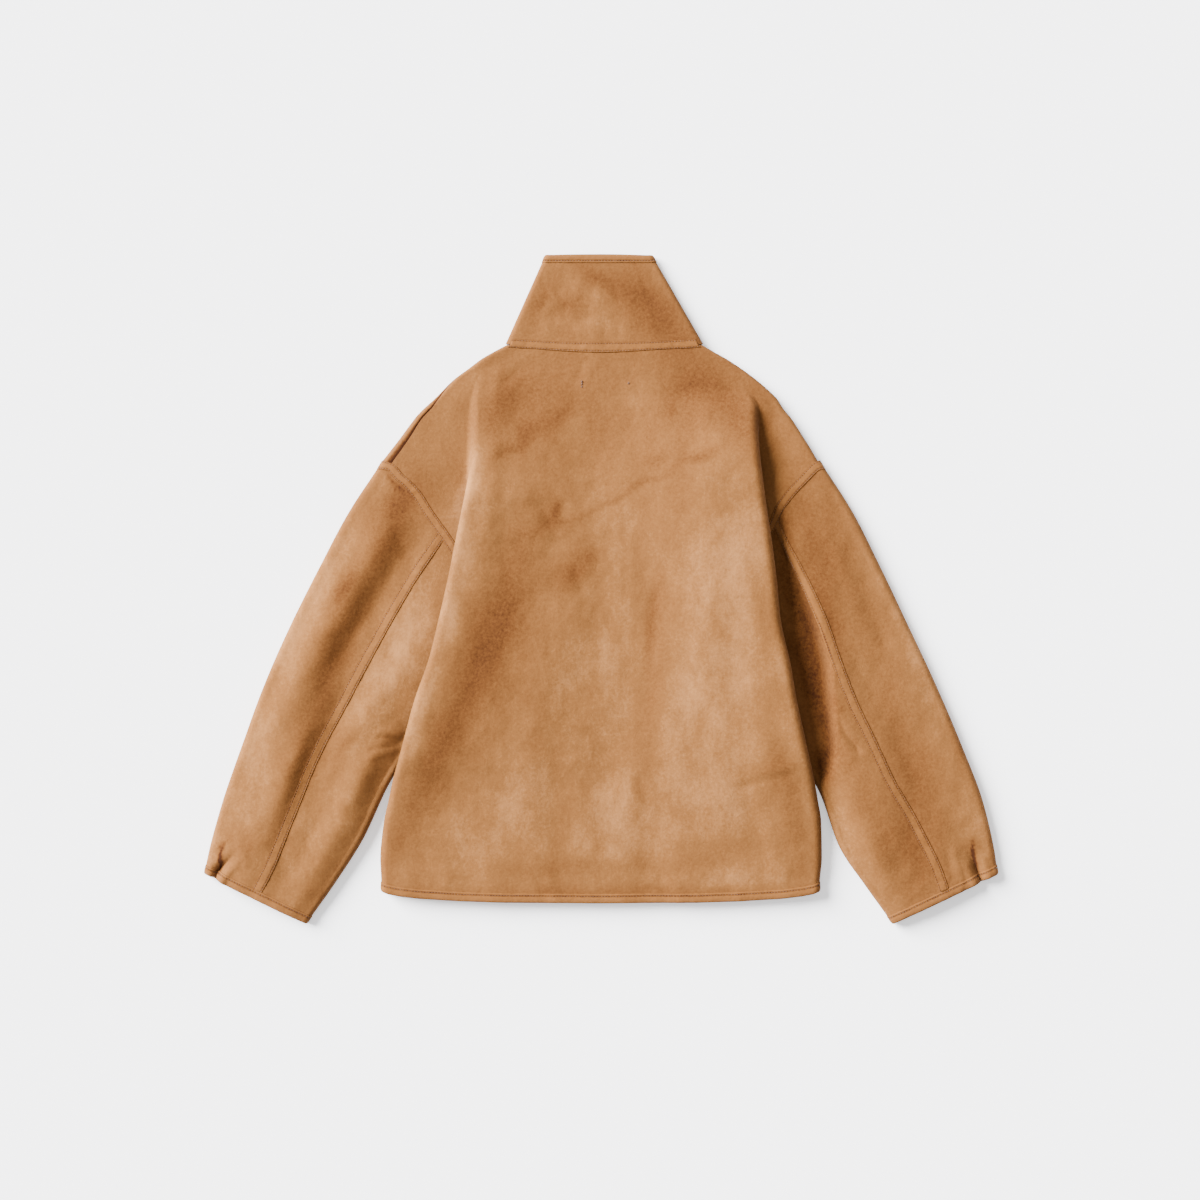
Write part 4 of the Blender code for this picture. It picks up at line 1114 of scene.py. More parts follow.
def sweep(
    name: str, rings: Array, material: bpy.types.Material, shade: Array, closed: bool = False
) -> bpy.types.Object:
    """A band from a row of section rings, capped at both ends or joined end to end.

    Args:
        name: the piece's name.
        rings: sections, each a closed ring of points.
        material: the band's material.
        shade: how much painted shade darkens each point of a section.
        closed: whether the last ring joins the first.

    Returns:
        The band's object, its faces outward.
    """
    rings = rings.copy()
    rings[..., 2] = np.maximum(rings[..., 2], 0.0)
    if not closed:
        first, last = rings[:1].mean(axis=1, keepdims=True), rings[-1:].mean(axis=1, keepdims=True)
        cap = np.array(CAP_SIZES).reshape(-1, 1, 1)
        head = first + (rings[:1] - first) * cap
        tail = last + (rings[-1:] - last) * cap[::-1]
        rings = np.concatenate((head, rings, tail))
    count, sides = rings.shape[:2]
    index = np.arange(count * sides).reshape(count, sides)
    following = np.roll(index, -1, axis=0)
    quads = np.stack((index, np.roll(index, -1, axis=1), np.roll(following, -1, axis=1), following), axis=-1)
    if not closed:
        quads = quads[:-1]
    quads = quads.reshape(-1, 4)
    points = rings.reshape(-1, 3)
    a, b, c = points[quads[:, 0]], points[quads[:, 1]], points[quads[:, 2]]
    if np.sum(a * np.cross(b, c)) < 0:
        quads = quads[:, ::-1]
    obj = mesh_of(name, points, quads, [material], np.zeros(len(quads)))
    set_nap_and_painted_light(obj, 0.5 * nap_and_painted_light_at(points) - np.tile(shade, count))
    return obj


def along_line(line: Array, spacing: float) -> tuple:
    """Points at an even spacing along a line, and the line's number there.

    Args:
        line: points of the line.
        spacing: distance between the points.

    Returns:
        The points, and their places as fractions of the line's own numbering.
    """
    length = np.concatenate(([0], np.cumsum(np.linalg.norm(np.diff(line, axis=0), axis=1))))
    places = np.arange(spacing / 2, length[-1], spacing)
    numbers = np.interp(places, length, np.arange(len(line)))
    return np.stack([np.interp(places, length, line[:, k]) for k in range(3)], axis=1), numbers


# Sections of a stitch: place along it, thickness, and how far it stands above the cloth.
STITCH_SECTIONS = ((-0.5, 0.22, -0.28), (-0.28, 1.0, 0.05), (0.28, 1.0, 0.05), (0.5, 0.22, -0.28))
STITCH_SIDES = 4


@dataclass
class Sewing:
    """Rows of stitches, collected and made as one mesh for each piece that they hold."""

    finishes: Finishes
    stitch: float = 2.5
    pitch: float = 3.3
    thick: float = 0.62

    def row(self, line: Array, normals: Array) -> Array:
        """Stitches along a line.

        A stitch is four square rings; ring t is centre + along * t + (side * cos + up * sin) * r,
        with r smaller at both ends, so that it dips into the cloth.

        Args:
            line: points on the cloth's face.
            normals: the face's normals there.

        Returns:
            Points of every stitch: stitch, ring, corner, and x, y, z.
        """
        centres, numbers = along_line(line, self.pitch)
        low = np.clip(numbers.astype(int), 0, len(line) - 2)
        part = (numbers - low)[:, None]
        up = unit(normals[low] * (1 - part) + normals[low + 1] * part)
        along = unit(line[low + 1] - line[low])
        side = unit(np.cross(up, along))
        t, r, sink = np.array(STITCH_SECTIONS).T
        t, r = t * self.stitch, r * self.thick / 2
        turn = np.pi / STITCH_SIDES * (1 + 2 * np.arange(STITCH_SIDES))
        ring = (
            side[:, None, None, :] * np.cos(turn)[None, None, :, None]
            + up[:, None, None, :] * np.sin(turn)[None, None, :, None]
        ) * r[None, :, None, None]
        middle = centres[:, None, :] + along[:, None, :] * t[None, :, None]
        middle = middle + up[:, None, :] * sink[None, :, None]
        return middle[:, :, None, :] + ring

    def make(self, name: str, rows: list) -> bpy.types.Object:
        """One mesh of all the stitches in the rows.

        Args:
            name: the piece's name.
            rows: results of row().

        Returns:
            The stitches' object.
        """
        stitches = np.concatenate(rows)
        stitches[..., 2] = np.maximum(stitches[..., 2], 0.0)
        count = len(stitches)
        base = np.arange(len(STITCH_SECTIONS) * STITCH_SIDES).reshape(-1, STITCH_SIDES)
        turned = np.roll(base, -1, axis=1)
        around = np.stack((base[:-1], turned[:-1], turned[1:], base[1:]), axis=-1)
        one = np.concatenate((around.reshape(-1, 4), base[0][None, ::-1], base[-1][None]))
        a, b, c = (stitches[0].reshape(-1, 3)[one[0, k]] for k in (0, 1, 2))
        if np.dot(np.cross(b - a, c - a), a - stitches[0].reshape(-1, 3).mean(axis=0)) < 0:
            one = one[:, ::-1]
        quads = (one[None] + base.size * np.arange(count)[:, None, None]).reshape(-1, 4)
        return mesh_of(name, stitches.reshape(-1, 3), quads, [self.finishes.thread], np.zeros(len(quads)))


# ---------------------------------------------------------------- the body


@dataclass
class BodyHalf:
    """One half of the body: its tables, and its sections at the body's rows."""

    side: Side
    fold_table: tuple
    shoulder_table: tuple
    armhole_table: tuple
    collar_top: float
    y: Array = field(default_factory=body_rows)

    def __post_init__(self) -> None:
        """Read the tables at the body's rows and find the back's outer seam."""
        self.fold = read(self.fold_table, FOLD_COLUMNS, self.y)
        self.shoulder = read(self.shoulder_table, SHOULDER_COLUMNS, np.maximum(self.y, SHOULDER_TIP_Y))
        self.wrap = np.radians(self.shoulder["wrap"])
        level_part = (2 * SEAM_STEP + SHOULDER_GAP + LEAST_STEP) * np.sin(self.wrap)
        self.roll = SHOULDER_ROLL - level_part / 2
        table = np.array(sorted(self.armhole_table, key=lambda row: row[1]), dtype=float)
        low = np.minimum(self.y, SHOULDER_TIP_Y)
        shoulder_out = self.shoulder["outline"] - CLOTH / 2 - self.roll - self.shoulder["strip"]
        on_shoulder = self.y >= SHOULDER_TIP_Y
        self.seam_out = np.where(on_shoulder, shoulder_out, curve(low, table[:, 1], table[:, 0]))
        self.seam_up = np.where(on_shoulder, SHOULDER_HEIGHT, curve(low, table[:, 1], table[:, 2]))

    def back_half(self) -> tuple:
        """Sections of the back from the middle outwards.

        The top layer rises as a smoothstep from the middle to the side fold. Then come a turn
        under of the given angle, a straight run back in, a turn outward, the lower layer out to
        the seam, and at the shoulder a turn down round its fold.

        Returns:
            Distance out and height of every point.
        """
        turn = np.radians(self.fold["turn"])
        roll_arc = np.maximum(self.fold["roll"] * turn, 3.0)
        reach = roll_arc * np.sin(np.minimum(turn, np.pi / 2)) / turn
        fold_start = self.fold["edge"] - CLOTH / 2 - reach
        part = np.linspace(0, 1, TOP_STEPS + 1)[None, :]
        out = fold_start[:, None] * part
        middle = read(MIDDLE, MIDDLE_COLUMNS, self.y)["height"][:, None]
        up = middle + (self.fold["top"][:, None] - middle) * smoothstep(part)
        x, y = self.side.value * out, self.y[:, None] + 0 * out
        up += waves_at(BACK_WAVES, x, y) * (1 - smoothstep(part) ** 4)
        inside = 1 - smoothstep((part - 1 + FOLD_EASE) / FOLD_EASE)
        up += waves_at(BACK_CREASES, x, y)
        up += rumple(x, y, BACK_RUMPLE) * (EDGE_RUMPLE + (1 - EDGE_RUMPLE) * inside)
        level = np.zeros_like(turn)
        outs, ups = [out], [up]
        stretches = (
            (level, -turn, roll_arc, ROLL_STEPS),
            (-turn, -turn, self.fold["under"], UNDER_STEPS),
            (-turn, level, np.maximum(self.fold["crease"] * turn, 3.0), CREASE_STEPS),
        )
        for first, last, length, steps in stretches:
            start = outs[-1][:, -1], ups[-1][:, -1]
            out, up = walk(start, turning(first, last, steps), length / steps)
            outs.append(out)
            ups.append(up)
        part = (np.arange(LOWER_STEPS) + 1)[None, :] / LOWER_STEPS
        last_out, last_up = outs[-1][:, -1:], ups[-1][:, -1:]
        seam_out = self.seam_out - 2 * SEAM_GAP * (self.y < SHOULDER_TIP_Y)
        outs.append(last_out + (seam_out[:, None] - last_out) * part)
        ups.append(last_up + (self.seam_up[:, None] - last_up) * smoothstep(part))
        arc = self.roll * np.maximum(self.wrap, LEAST_WRAP)
        start = outs[-1][:, -1], ups[-1][:, -1]
        out, up = walk(start, turning(level, -self.wrap, WRAP_STEPS), arc / WRAP_STEPS)
        outs.append(out)
        ups.append(up)
        out, up = walk((out[:, -1], up[:, -1]), -self.wrap[:, None], np.full_like(level, SEAM_STEP))
        outs.append(out)
        ups.append(up)
        return np.hstack(outs), np.hstack(ups)

    def front_half(self, back_out: Array, back_up: Array) -> tuple:
        """Sections of a front from its outer seam, round the fold, in to the front edge.

        Args:
            back_out: the back's distances out.
            back_up: the back's heights.

        Returns:
            Distance out and height of every point.
        """
        shoulder = self.shoulder["outline"] - CLOTH / 2 - SHOULDER_ROLL
        start_out = back_out[:, -1] + SHOULDER_GAP * np.cos(self.wrap)
        start_up = back_up[:, -1] - SHOULDER_GAP * np.sin(self.wrap)
        next_out, next_up = walk((start_out, start_up), -self.wrap[:, None], 0 * self.wrap + SEAM_STEP)
        flat = np.where(self.wrap > LEAST_WRAP / 5, LEAST_STEP, shoulder - next_out[:, 0])
        flat = np.maximum(flat, LEAST_STEP)
        strip_out, strip_up = walk((next_out[:, 0], next_up[:, 0]), -self.wrap[:, None], flat)
        arc = self.roll * (np.pi - self.wrap)
        headings = turning(-self.wrap, np.full_like(self.wrap, -np.pi), FOLD_STEPS)
        turn_out, turn_up = walk((strip_out[:, 0], strip_up[:, 0]), headings, arc / FOLD_STEPS)
        inner = front_edge_at(self.y)
        rows = np.arange(len(self.y))
        below_strip = np.maximum(self.shoulder["strip"], LEAST_STRIP)
        outer = np.where(rows <= TIP_ROW, turn_out[:, -1] - below_strip, self.seam_out - 2 * SEAM_GAP)
        outer = np.where(rows >= ARMPIT_ROW, back_out[:, SIDE_SEAM] - SEAM_GAP, outer)
        outer_up = np.where(rows > ARMPIT_ROW, back_up[:, SIDE_SEAM], FLOOR)
        part = np.linspace(0, 1, FRONT_STEPS + 1)[None, :] ** FRONT_SPACING
        floor_out = outer[:, None] + (inner - outer)[:, None] * part
        fall = 1 - smoothstep((outer[:, None] - floor_out) / SEAM_FALL)
        floor_up = FLOOR + (outer_up - FLOOR)[:, None] * fall
        turn_up = np.maximum(turn_up, FLOOR)
        turn_up[:, -1] = FLOOR
        out = np.hstack((start_out[:, None], next_out, strip_out, turn_out, floor_out))
        up = np.hstack((start_up[:, None], next_up, strip_up, turn_up, floor_up))
        return out, up

    def place_back(self, out: Array, up: Array) -> Array:
        """Place the back, with its neck seam bowed down in the middle as 1 - (out / outline)^2.

        Args:
            out: distances out.
            up: heights.

        Returns:
            The back's points as (x, y, z).
        """
        bow = NECK_BOW * (1 - np.clip(out / self.shoulder["outline"][0], 0, 1) ** 2)
        y = self.y[:, None] - bow * np.clip(1 - (NECK_Y - self.y[:, None]) / NECK_BOW_FADE, 0, 1)
        return self.place(self.lift_hem(np.dstack((out, y, up))))

    def place(self, grid: Array) -> Array:
        """Turn (out, y, up) into (x, y, z) on this half."""
        return grid * np.array((self.side.value, 1.0, 1.0))

    def lift_hem(self, grid: Array) -> Array:
        """Let the hem rise towards its corners, by a curve of the distance out.

        Args:
            grid: points as (out, y, up).

        Returns:
            The points with their lower rows moved up.
        """
        table = np.array(HEM_LIFT)
        part = smoothstep((HEM_LIFT_FROM - grid[..., 1]) / (HEM_LIFT_FROM - PANEL_END_Y)) ** HEM_BEND
        grid = grid.copy()
        grid[..., 1] += np.interp(grid[..., 0], table[:, 0], table[:, 1]) * part
        return grid


def front_edge_at(y: Array) -> Array:
    """Inner end of a front: the neckline's quarter ellipse, then the front edge's binding.

    Args:
        y: up the coat.

    Returns:
        The distance out from the middle.
    """
    part = np.clip((NECK_Y - y) / NECK_DROP, 0, 1)
    neckline = NECKLINE_HALF * np.sqrt(1 - part**2) + SEAM_GAP
    return np.maximum(neckline, FRONT_EDGE + BINDING_WIDTH + SEAM_GAP)


def both_sides(left: Array, right: Array) -> Array:
    """Left grid reversed and right grid, joined along the middle."""
    return np.concatenate((left[:, ::-1], right[:, 1:]), axis=1)


def edge_dip(distance: Array, deep: float = 0.9, reach: float = 1.8) -> Array:
    """How much a cloth's face sinks towards a seam: deep * exp(-(distance / reach)^2)."""
    return deep * np.exp(-((distance / reach) ** 2))


@dataclass
class Body:
    """Back, fronts and collar, the cloth that the hem, neck tape and bindings are sewn to."""

    finishes: Finishes
    left: BodyHalf
    right: BodyHalf

    def __post_init__(self) -> None:
        """Work out the grids of the back, fronts and collar."""
        self.backs, self.fronts, collars = {}, {}, {}
        for half in (self.left, self.right):
            out, up = half.back_half()
            self.backs[half.side] = half.place_back(out, up)
            front_out, front_up = half.front_half(out, up)
            y = np.repeat(half.y[:, None], front_out.shape[1], axis=1)
            front = half.lift_hem(np.dstack((front_out, y, front_up)))
            self.fronts[half.side] = half.place(front)
            back_row = half.place(self.backs[half.side])[0]
            collars[half.side] = half.place(self.collar_half(half, back_row, front))
        self.back = both_sides(self.backs[Side.LEFT], self.backs[Side.RIGHT])
        self.collar = both_sides(collars[Side.LEFT], collars[Side.RIGHT])

    def collar_half(self, half: BodyHalf, back_row: Array, front: Array) -> Array:
        """Half the collar from the middle of the back round its fold to the front edge.

        Every column runs straight from the neck seam to the collar's top edge.

        Args:
            half: the body half.
            back_row: the back's neck edge as (out, y, up).
            front: the front's grid as (out, y, up).

        Returns:
            The collar's grid as (out, y, up).
        """
        neck_rows = np.flatnonzero(half.y > NECK_Y - NECK_DROP)
        neckline = front[neck_rows, -1]
        edge_out = FRONT_EDGE + BINDING_WIDTH + SEAM_GAP
        last = np.array([[edge_out, neckline[-1, 1] - 1.0, FLOOR]])
        fold_columns = front[0, 3 : FOLD_STEPS + 3]
        flat = len(back_row) - WRAP_STEPS - 1
        turned = flat + WRAP_STEPS + FOLD_STEPS
        bottom = np.concatenate((back_row[:-1], fold_columns, neckline, last))
        fold_out = back_row[flat - 1, 0]
        top = np.empty_like(bottom)
        scale = (half.collar_top - CLOTH / 2 - COLLAR_TOP_ROLL) / fold_out
        top_y = COLLAR_TOP_Y - COLLAR_BINDING - SEAM_GAP
        top[:flat, 0] = bottom[:flat, 0] * scale
        top[:flat, 2] = FLOOR + 2 * COLLAR_TOP_ROLL
        fold = slice(flat, turned)
        angles = np.arccos(np.clip((bottom[fold, 2] - FLOOR) / SHOULDER_ROLL - 1, -1, 1))
        top[fold, 0] = fold_out * scale + COLLAR_TOP_ROLL * np.sin(angles)
        top[fold, 2] = FLOOR + COLLAR_TOP_ROLL * (1 + np.cos(angles))
        top[:, 1] = top_y
        under = bottom[turned:]
        steps = np.linalg.norm(np.diff(under, axis=0, prepend=bottom[turned - 1][None]), axis=1)
        part = np.cumsum(steps) / steps.sum()
        top[turned:, 0] = fold_out * scale + (edge_out - fold_out * scale) * part
        top[turned:, 1] = top_y - (top_y - COLLAR_FRONT_Y) * part
        top[turned:, 2] = FLOOR
        off_neck = SEAM_GAP + COLLAR_TILT_GAP * smoothstep(bottom[:, 0] / fold_out) ** 2
        bottom = bottom + np.array((0.0, 1.0, 0.0)) * off_neck[:, None]
        bottom[turned:-1, 0] -= SEAM_GAP
        part = np.linspace(0, 1, COLLAR_STEPS + 1)[:, None, None]
        grid = bottom[None] + (top - bottom)[None] * part
        x, y = half.side.value * grid[..., 0], grid[..., 1]
        inside = np.zeros(len(bottom))
        soft = COLLAR_SOFT_PART * flat
        inside[:flat] = 1 - smoothstep((np.arange(flat) - soft) / (flat - soft))
        grid[..., 2] += rumple(x, y, COLLAR_RUMPLE) * inside[None] * np.sin(np.pi * part[..., 0])
        return grid

    def back_keep(self) -> Array:
        """Choose the back's faces: none past the side seam or the armhole.

        Returns:
            True for each face that there is.
        """
        rows, columns = self.back.shape[:2]
        half = (columns - 1) // 2
        keep = np.ones((rows - 1, columns - 1), dtype=bool)
        shoulder_seam = half - WRAP_STEPS - 1
        for first, last_row in ((SIDE_SEAM, ARMPIT_ROW), (shoulder_seam, TIP_ROW)):
            keep[last_row:, : half - first] = False
            keep[last_row:, half + first :] = False
        return keep

    def make_panels(self) -> list:
        """Make the back, fronts and collar as cloth walls.

        Returns:
            The four objects.
        """
        f = self.finishes
        rows, columns = self.back.shape[:2]
        half = (columns - 1) // 2
        normals = normals_of(self.back, (rows // 2, half))
        to_end = np.minimum(np.arange(columns), np.arange(columns)[::-1])
        last_width = np.where(to_end > WRAP_STEPS, FAR, to_end * BACK_SEAM_PITCH)
        dip = np.where(np.arange(rows)[:, None] <= TIP_ROW, edge_dip(last_width)[None], 0.0)
        # Painted shade where the back's face sinks into the shoulder seams.
        nap_and_painted_light = nap_and_painted_light_at(self.back) - SEAM_SHADE * dip
        back = wall("back_cloth", self.back, normals, f, self.back_keep(), CLOTH / 2 - dip, nap_and_painted_light)
        made = [back]
        for side, grid in self.fronts.items():
            keep = np.ones((grid.shape[0] - 1, grid.shape[1] - 1), dtype=bool)
            keep[TIP_ROW:, : FOLD_STEPS + 3] = False
            normals = normals_of(grid, (rows - 20, grid.shape[1] - 3), upward=False)
            distance = np.full(grid.shape[1], FAR)
            distance[: len(FRONT_SEAM_DISTANCES)] = FRONT_SEAM_DISTANCES
            thick = np.broadcast_to(CLOTH / 2 - edge_dip(distance)[None], grid.shape[:2])
            # Painted shade along the seam at the front's outer edge.
            nap_and_painted_light = nap_and_painted_light_at(grid) - SEAM_SHADE * edge_dip(distance)[None]
            made.append(wall(f"front_{side.word}_cloth", grid, normals, f, keep, thick, nap_and_painted_light))
        normals = normals_of(self.collar, (2, (self.collar.shape[1] - 1) // 2))
        made.append(wall("collar_cloth", self.collar, normals, f, nap_and_painted_light=nap_and_painted_light_at(self.collar)))
        return made


# ---------------------------------------------------------------- sleeves


@dataclass
class Sleeve:
    """One sleeve as a flattened tube, cut in two panels along its seams."""

    finishes: Finishes
    half: BodyHalf
    stations: tuple
    heights: tuple
    seam_y: float
    pleat: tuple
    creases: tuple
    ridge: tuple = ()

    def __post_init__(self) -> None:
        """Work out the ring of points for each row from armhole to cuff."""
        rows = self.half.y[TIP_ROW : ARMPIT_ROW + 1]
        self.seam_column = int(np.argmin(np.abs(rows - self.seam_y))) + 1
        even = np.linspace(0, 1, SLEEVE_ROW_COUNT + 1)
        self.rows = np.concatenate(([0.0, FIRST_SLEEVE_ROW], even[1:]))
        self.upper_count = len(rows) + 1
        self.tube = self.half.place(self.grid())

    def height_at(self, along: float, across: Array) -> Array:
        """Height of the upper layer at one row: its table, less the cuff pleat's slit, plus its lips.

        Args:
            along: the row's place from armhole to cuff, 0 to 1.
            across: places across the sleeve, 0 to 1.

        Returns:
            The heights.
        """
        names = ("along",) + tuple(range(len(HEIGHT_ACROSS)))
        row = read(self.heights, names, np.array([along]))
        values = [row[k][0] for k in range(len(HEIGHT_ACROSS))]
        height = curve(across, HEIGHT_ACROSS, values)
        near_cuff = smoothstep((along - 1 + PLEAT_REACH) / PLEAT_REACH)
        place = self.pleat[0] + self.pleat[1] * (1 - along)
        slit = np.exp(-np.abs((across - place) / PLEAT_HALF_WIDTH) ** PLEAT_SHARPNESS)
        lips = np.exp(-(((np.abs(across - place) - PLEAT_LIP_AT) / PLEAT_LIP_HALF_WIDTH) ** 2))
        return height + near_cuff * (PLEAT_LIP * lips - PLEAT_DEPTH * slit)

    def ring(self) -> tuple:
        """The armhole seam as the sleeve sees it, eased off the body at its armpit end.

        Returns:
            Distances out, distances up the coat, and heights, at the body's rows.
        """
        half = self.half
        pick = slice(TIP_ROW, ARMPIT_ROW + 1)
        shoulder = half.shoulder["outline"][TIP_ROW] - CLOTH / 2 - half.roll[TIP_ROW]
        out = np.concatenate(([shoulder], half.seam_out[pick]))
        y = np.concatenate(([SHOULDER_TIP_Y], half.y[pick])) - 2 * SEAM_GAP
        up = np.concatenate(([SHOULDER_HEIGHT], half.seam_up[pick]))
        near = np.exp(-np.arange(len(out))[::-1] / 3.0)
        return out + ARMPIT_CLEAR * near, y - ARMPIT_CLEAR / 2 * near, up

    def line(self, along: float) -> tuple:
        """The line across the flat sleeve at one row, in plan.

        Args:
            along: the row's place from armhole to cuff.

        Returns:
            Its outer end, its inner end, and the back seam's place on it.
        """
        row = read(self.stations, STATION_COLUMNS, np.array([along]))
        outer = np.array((row["outer_x"][0], row["outer_y"][0]))
        return outer, np.array((row["inner_x"][0], row["inner_y"][0])), row["seam"][0]

    def outer_roll(self, along: float) -> float:
        """How far the outer fold's roll reaches sideways."""
        start = self.half.roll[TIP_ROW]
        return start + (OUTER_ROLL - start) * smoothstep(along / OUTER_ROLL_BY)

    def inner_roll(self, along: float) -> float:
        """How far the inner fold's roll reaches sideways: pressed flat under the body."""
        part = smoothstep((along - INNER_ROLL_FROM) / INNER_ROLL_OVER)
        return PRESSED_ROLL + (INNER_ROLL - PRESSED_ROLL) * part

    def spread(self, base: Array, along: float) -> Array:
        """Places across the sleeve of its columns, where the seam's column follows the seam.

        Args:
            base: the columns' places at the armhole.
            along: the row's place from armhole to cuff.

        Returns:
            The columns' places at that row.
        """
        outer, inner, seam = self.line(along)
        width = np.hypot(*(inner - outer))
        low = (CLOTH / 2 + self.outer_roll(along)) / width
        high = 1 - (CLOTH / 2 + self.inner_roll(along)) / width
        s = self.seam_column
        before = low + (base[: s + 1] - base[0]) * (seam - low) / (base[s] - base[0])
        after = seam + (base[s + 1 :] - base[s]) * (high - seam) / (base[-1] - base[s])
        return np.concatenate((before, after))

    def grid(self) -> Array:
        """Rows of points round the sleeve, from the armhole's curved seam to the straight cuff.

        A point lies on its row's straight line at its column's place, plus the armhole's
        shift from that line, which fades as a smoothstep down the sleeve.

        Returns:
            The rows, each with the upper layer, inner fold, under layer and outer fold.
        """
        ring_out, ring_y, ring_up = self.ring()
        ring = np.stack((ring_out, ring_y), axis=1)
        steps = np.hypot(*np.diff(ring, axis=0).T)
        first_outer, first_inner, _ = self.line(0.0)
        total = np.hypot(*(first_inner - first_outer))
        ring_part = np.concatenate(([0], np.cumsum(steps))) / steps.sum()
        low = (CLOTH / 2 + self.outer_roll(0.0)) / total
        even = np.linspace(0, 1, len(ring_part))
        base = low + (1 - 2 * low) * (ring_part + even) / 2
        shift = ring - (first_outer + (first_inner - first_outer) * self.spread(base, 0.0)[:, None])
        plans, heights = [], []
        for along in self.rows:
            across = self.spread(base, along)
            outer, inner, _ = self.line(along)
            left = 1 - smoothstep(along / RING_FADE)
            plans.append(outer + (inner - outer) * across[:, None] + shift * left)
            settled = smoothstep(along / SETTLED_BY)
            heights.append(ring_up + (self.height_at(along, across) - ring_up) * settled)
        plans, heights = np.array(plans), np.array(heights)
        last = unit(plans[-1] - plans[-2])
        drawn_back = np.clip((self.rows - CUFF_FADE) / (1 - CUFF_FADE), 0, 1)
        plans -= last * (BINDING_WIDTH + SEAM_GAP) * drawn_back[:, None, None]
        x, y = self.half.side.value * plans[..., 0], plans[..., 1]
        free = smoothstep(self.rows / FREE_BY)[:, None]
        if self.ridge:
            heights = self.valley(plans, heights)
        heights += waves_at(self.creases, x, y) * free
        heights += rumple(x, y, SLEEVE_RUMPLE) * free
        return self.close(plans, heights)

    def valley(self, plans: Array, heights: Array) -> Array:
        """Let the cloth fall from the ridge to the valley beside the body.

        The ridge is a curve x(y). At a distance d inside it the height is
        floor + (height - floor) * smoothstep(1 - d / fall), and near its lower end it fades.

        Args:
            plans: points in plan.
            heights: heights without the valley.

        Returns:
            The heights with it.
        """
        table = np.array(self.ridge)[::-1]
        out, y = plans[..., 0], plans[..., 1]
        inside = np.interp(y, table[:, 1], table[:, 0]) - out
        fall = 1 - smoothstep((inside + VALLEY_LEAD * VALLEY_FALL) / VALLEY_FALL)
        below = smoothstep((table[0, 1] + VALLEY_BELOW[0] - y) / VALLEY_BELOW[1])
        above = smoothstep((y - table[-1, 1] + VALLEY_ABOVE[0]) / VALLEY_ABOVE[1])
        kept = np.maximum(np.maximum(fall, below), above)
        return np.minimum(heights, VALLEY_FLOOR) + np.maximum(heights - VALLEY_FLOOR, 0) * kept

    def close(self, plans: Array, heights: Array) -> Array:
        """Join the upper layer to the under layer with a half ellipse at each side.

        Args:
            plans: the upper layer's points in plan.
            heights: its heights.

        Returns:
            Closed rows of points as (out, y, up).
        """
        upper = np.dstack((plans, heights))
        under = np.dstack((plans, np.full_like(heights, FLOOR)))[:, ::-1]
        angles = np.pi * np.arange(1, FOLD_STEPS) / FOLD_STEPS
        rolls = (
            (upper[:, -1], plans[:, -1] - plans[:, -2], [self.inner_roll(a) for a in self.rows]),
            (upper[:, 0], plans[:, 0] - plans[:, 1], [self.outer_roll(a) for a in self.rows]),
        )
        turns = []
        for start, way, reach in rolls:
            way = unit(way)
            half = (start[:, 2] - FLOOR) / 2
            flat = start[:, None, :2] + way[:, None, :] * np.sin(angles)[None, :, None] * (
                np.array(reach)[:, None, None]
            )
            up = FLOOR + half[:, None] * (1 + np.cos(angles)[None, :])
            turns.append(np.dstack((flat, up)))
        return np.concatenate((upper, turns[0], under, turns[1][:, ::-1]), axis=1)

    def make_panels(self) -> dict:
        """Make the two panels as cloth walls.

        Returns:
            The objects by the names of the nodes that they stand for.
        """
        ring = np.concatenate((self.tube, self.tube[:, :1]), axis=1)
        normals = normals_of(ring, (40, self.upper_count // 2))
        closing = unit(normals[:, 0] + normals[:, -1])
        normals[:, 0], normals[:, -1] = closing, closing
        seam = self.seam_column
        rows = self.half.y[TIP_ROW : ARMPIT_ROW + 1]
        above = int(np.argmin(np.abs(rows - UNDER_SEAM_Y))) + 1
        under_seam = 2 * (self.upper_count - 1) + FOLD_STEPS - above
        # The valley rows add painted shade, where only the right sleeve lies.
        nap_and_painted_light = nap_and_painted_light_at(ring, NAP_AND_PAINTED_LIGHT_MARKS + VALLEY_PAINTED_SHADE)
        made = {}
        gap = SEAM_GAP / 2
        columns = {
            "upper": list(range(under_seam, ring.shape[1] - 1)) + list(range(seam + 1)),
            "under": list(range(seam, under_seam + 1)),
        }
        for name, pick in columns.items():
            panel = ring[:, pick].copy()
            panel[:, 0] += unit(panel[:, 1] - panel[:, 0]) * gap
            panel[:, -1] += unit(panel[:, -2] - panel[:, -1]) * gap
            piece = f"sleeve_{self.half.side.word}_{name}"
            made[piece] = wall(piece + "_cloth", panel, normals[:, pick], self.finishes, nap_and_painted_light=nap_and_painted_light[:, pick])
        return made


# ---------------------------------------------------------------- trim


BINDING_PROFILE = (
    (-1.3, 1.56), (-1.35, 1.85), (-0.9, 2.10), (0.4, 2.28), (1.1, 2.12), (1.5, 1.96), (1.9, 2.14),
    (3.2, 2.36), (5.5, 2.42), (7.6, 2.26), (9.0, 1.80), (9.8, 1.05), (10.0, 0.0),
)


BINDING_INNER = (0.15, 1.54)
# Points of the binding's section that take painted shade: its edge against the cloth and its stitch groove,
# on both faces, and its inner wall.
BINDING_PAINTED_SHADE_POINTS = (0, 1, 4, 5, 6, 18, 19, 20, 23, 24, 25, 26)


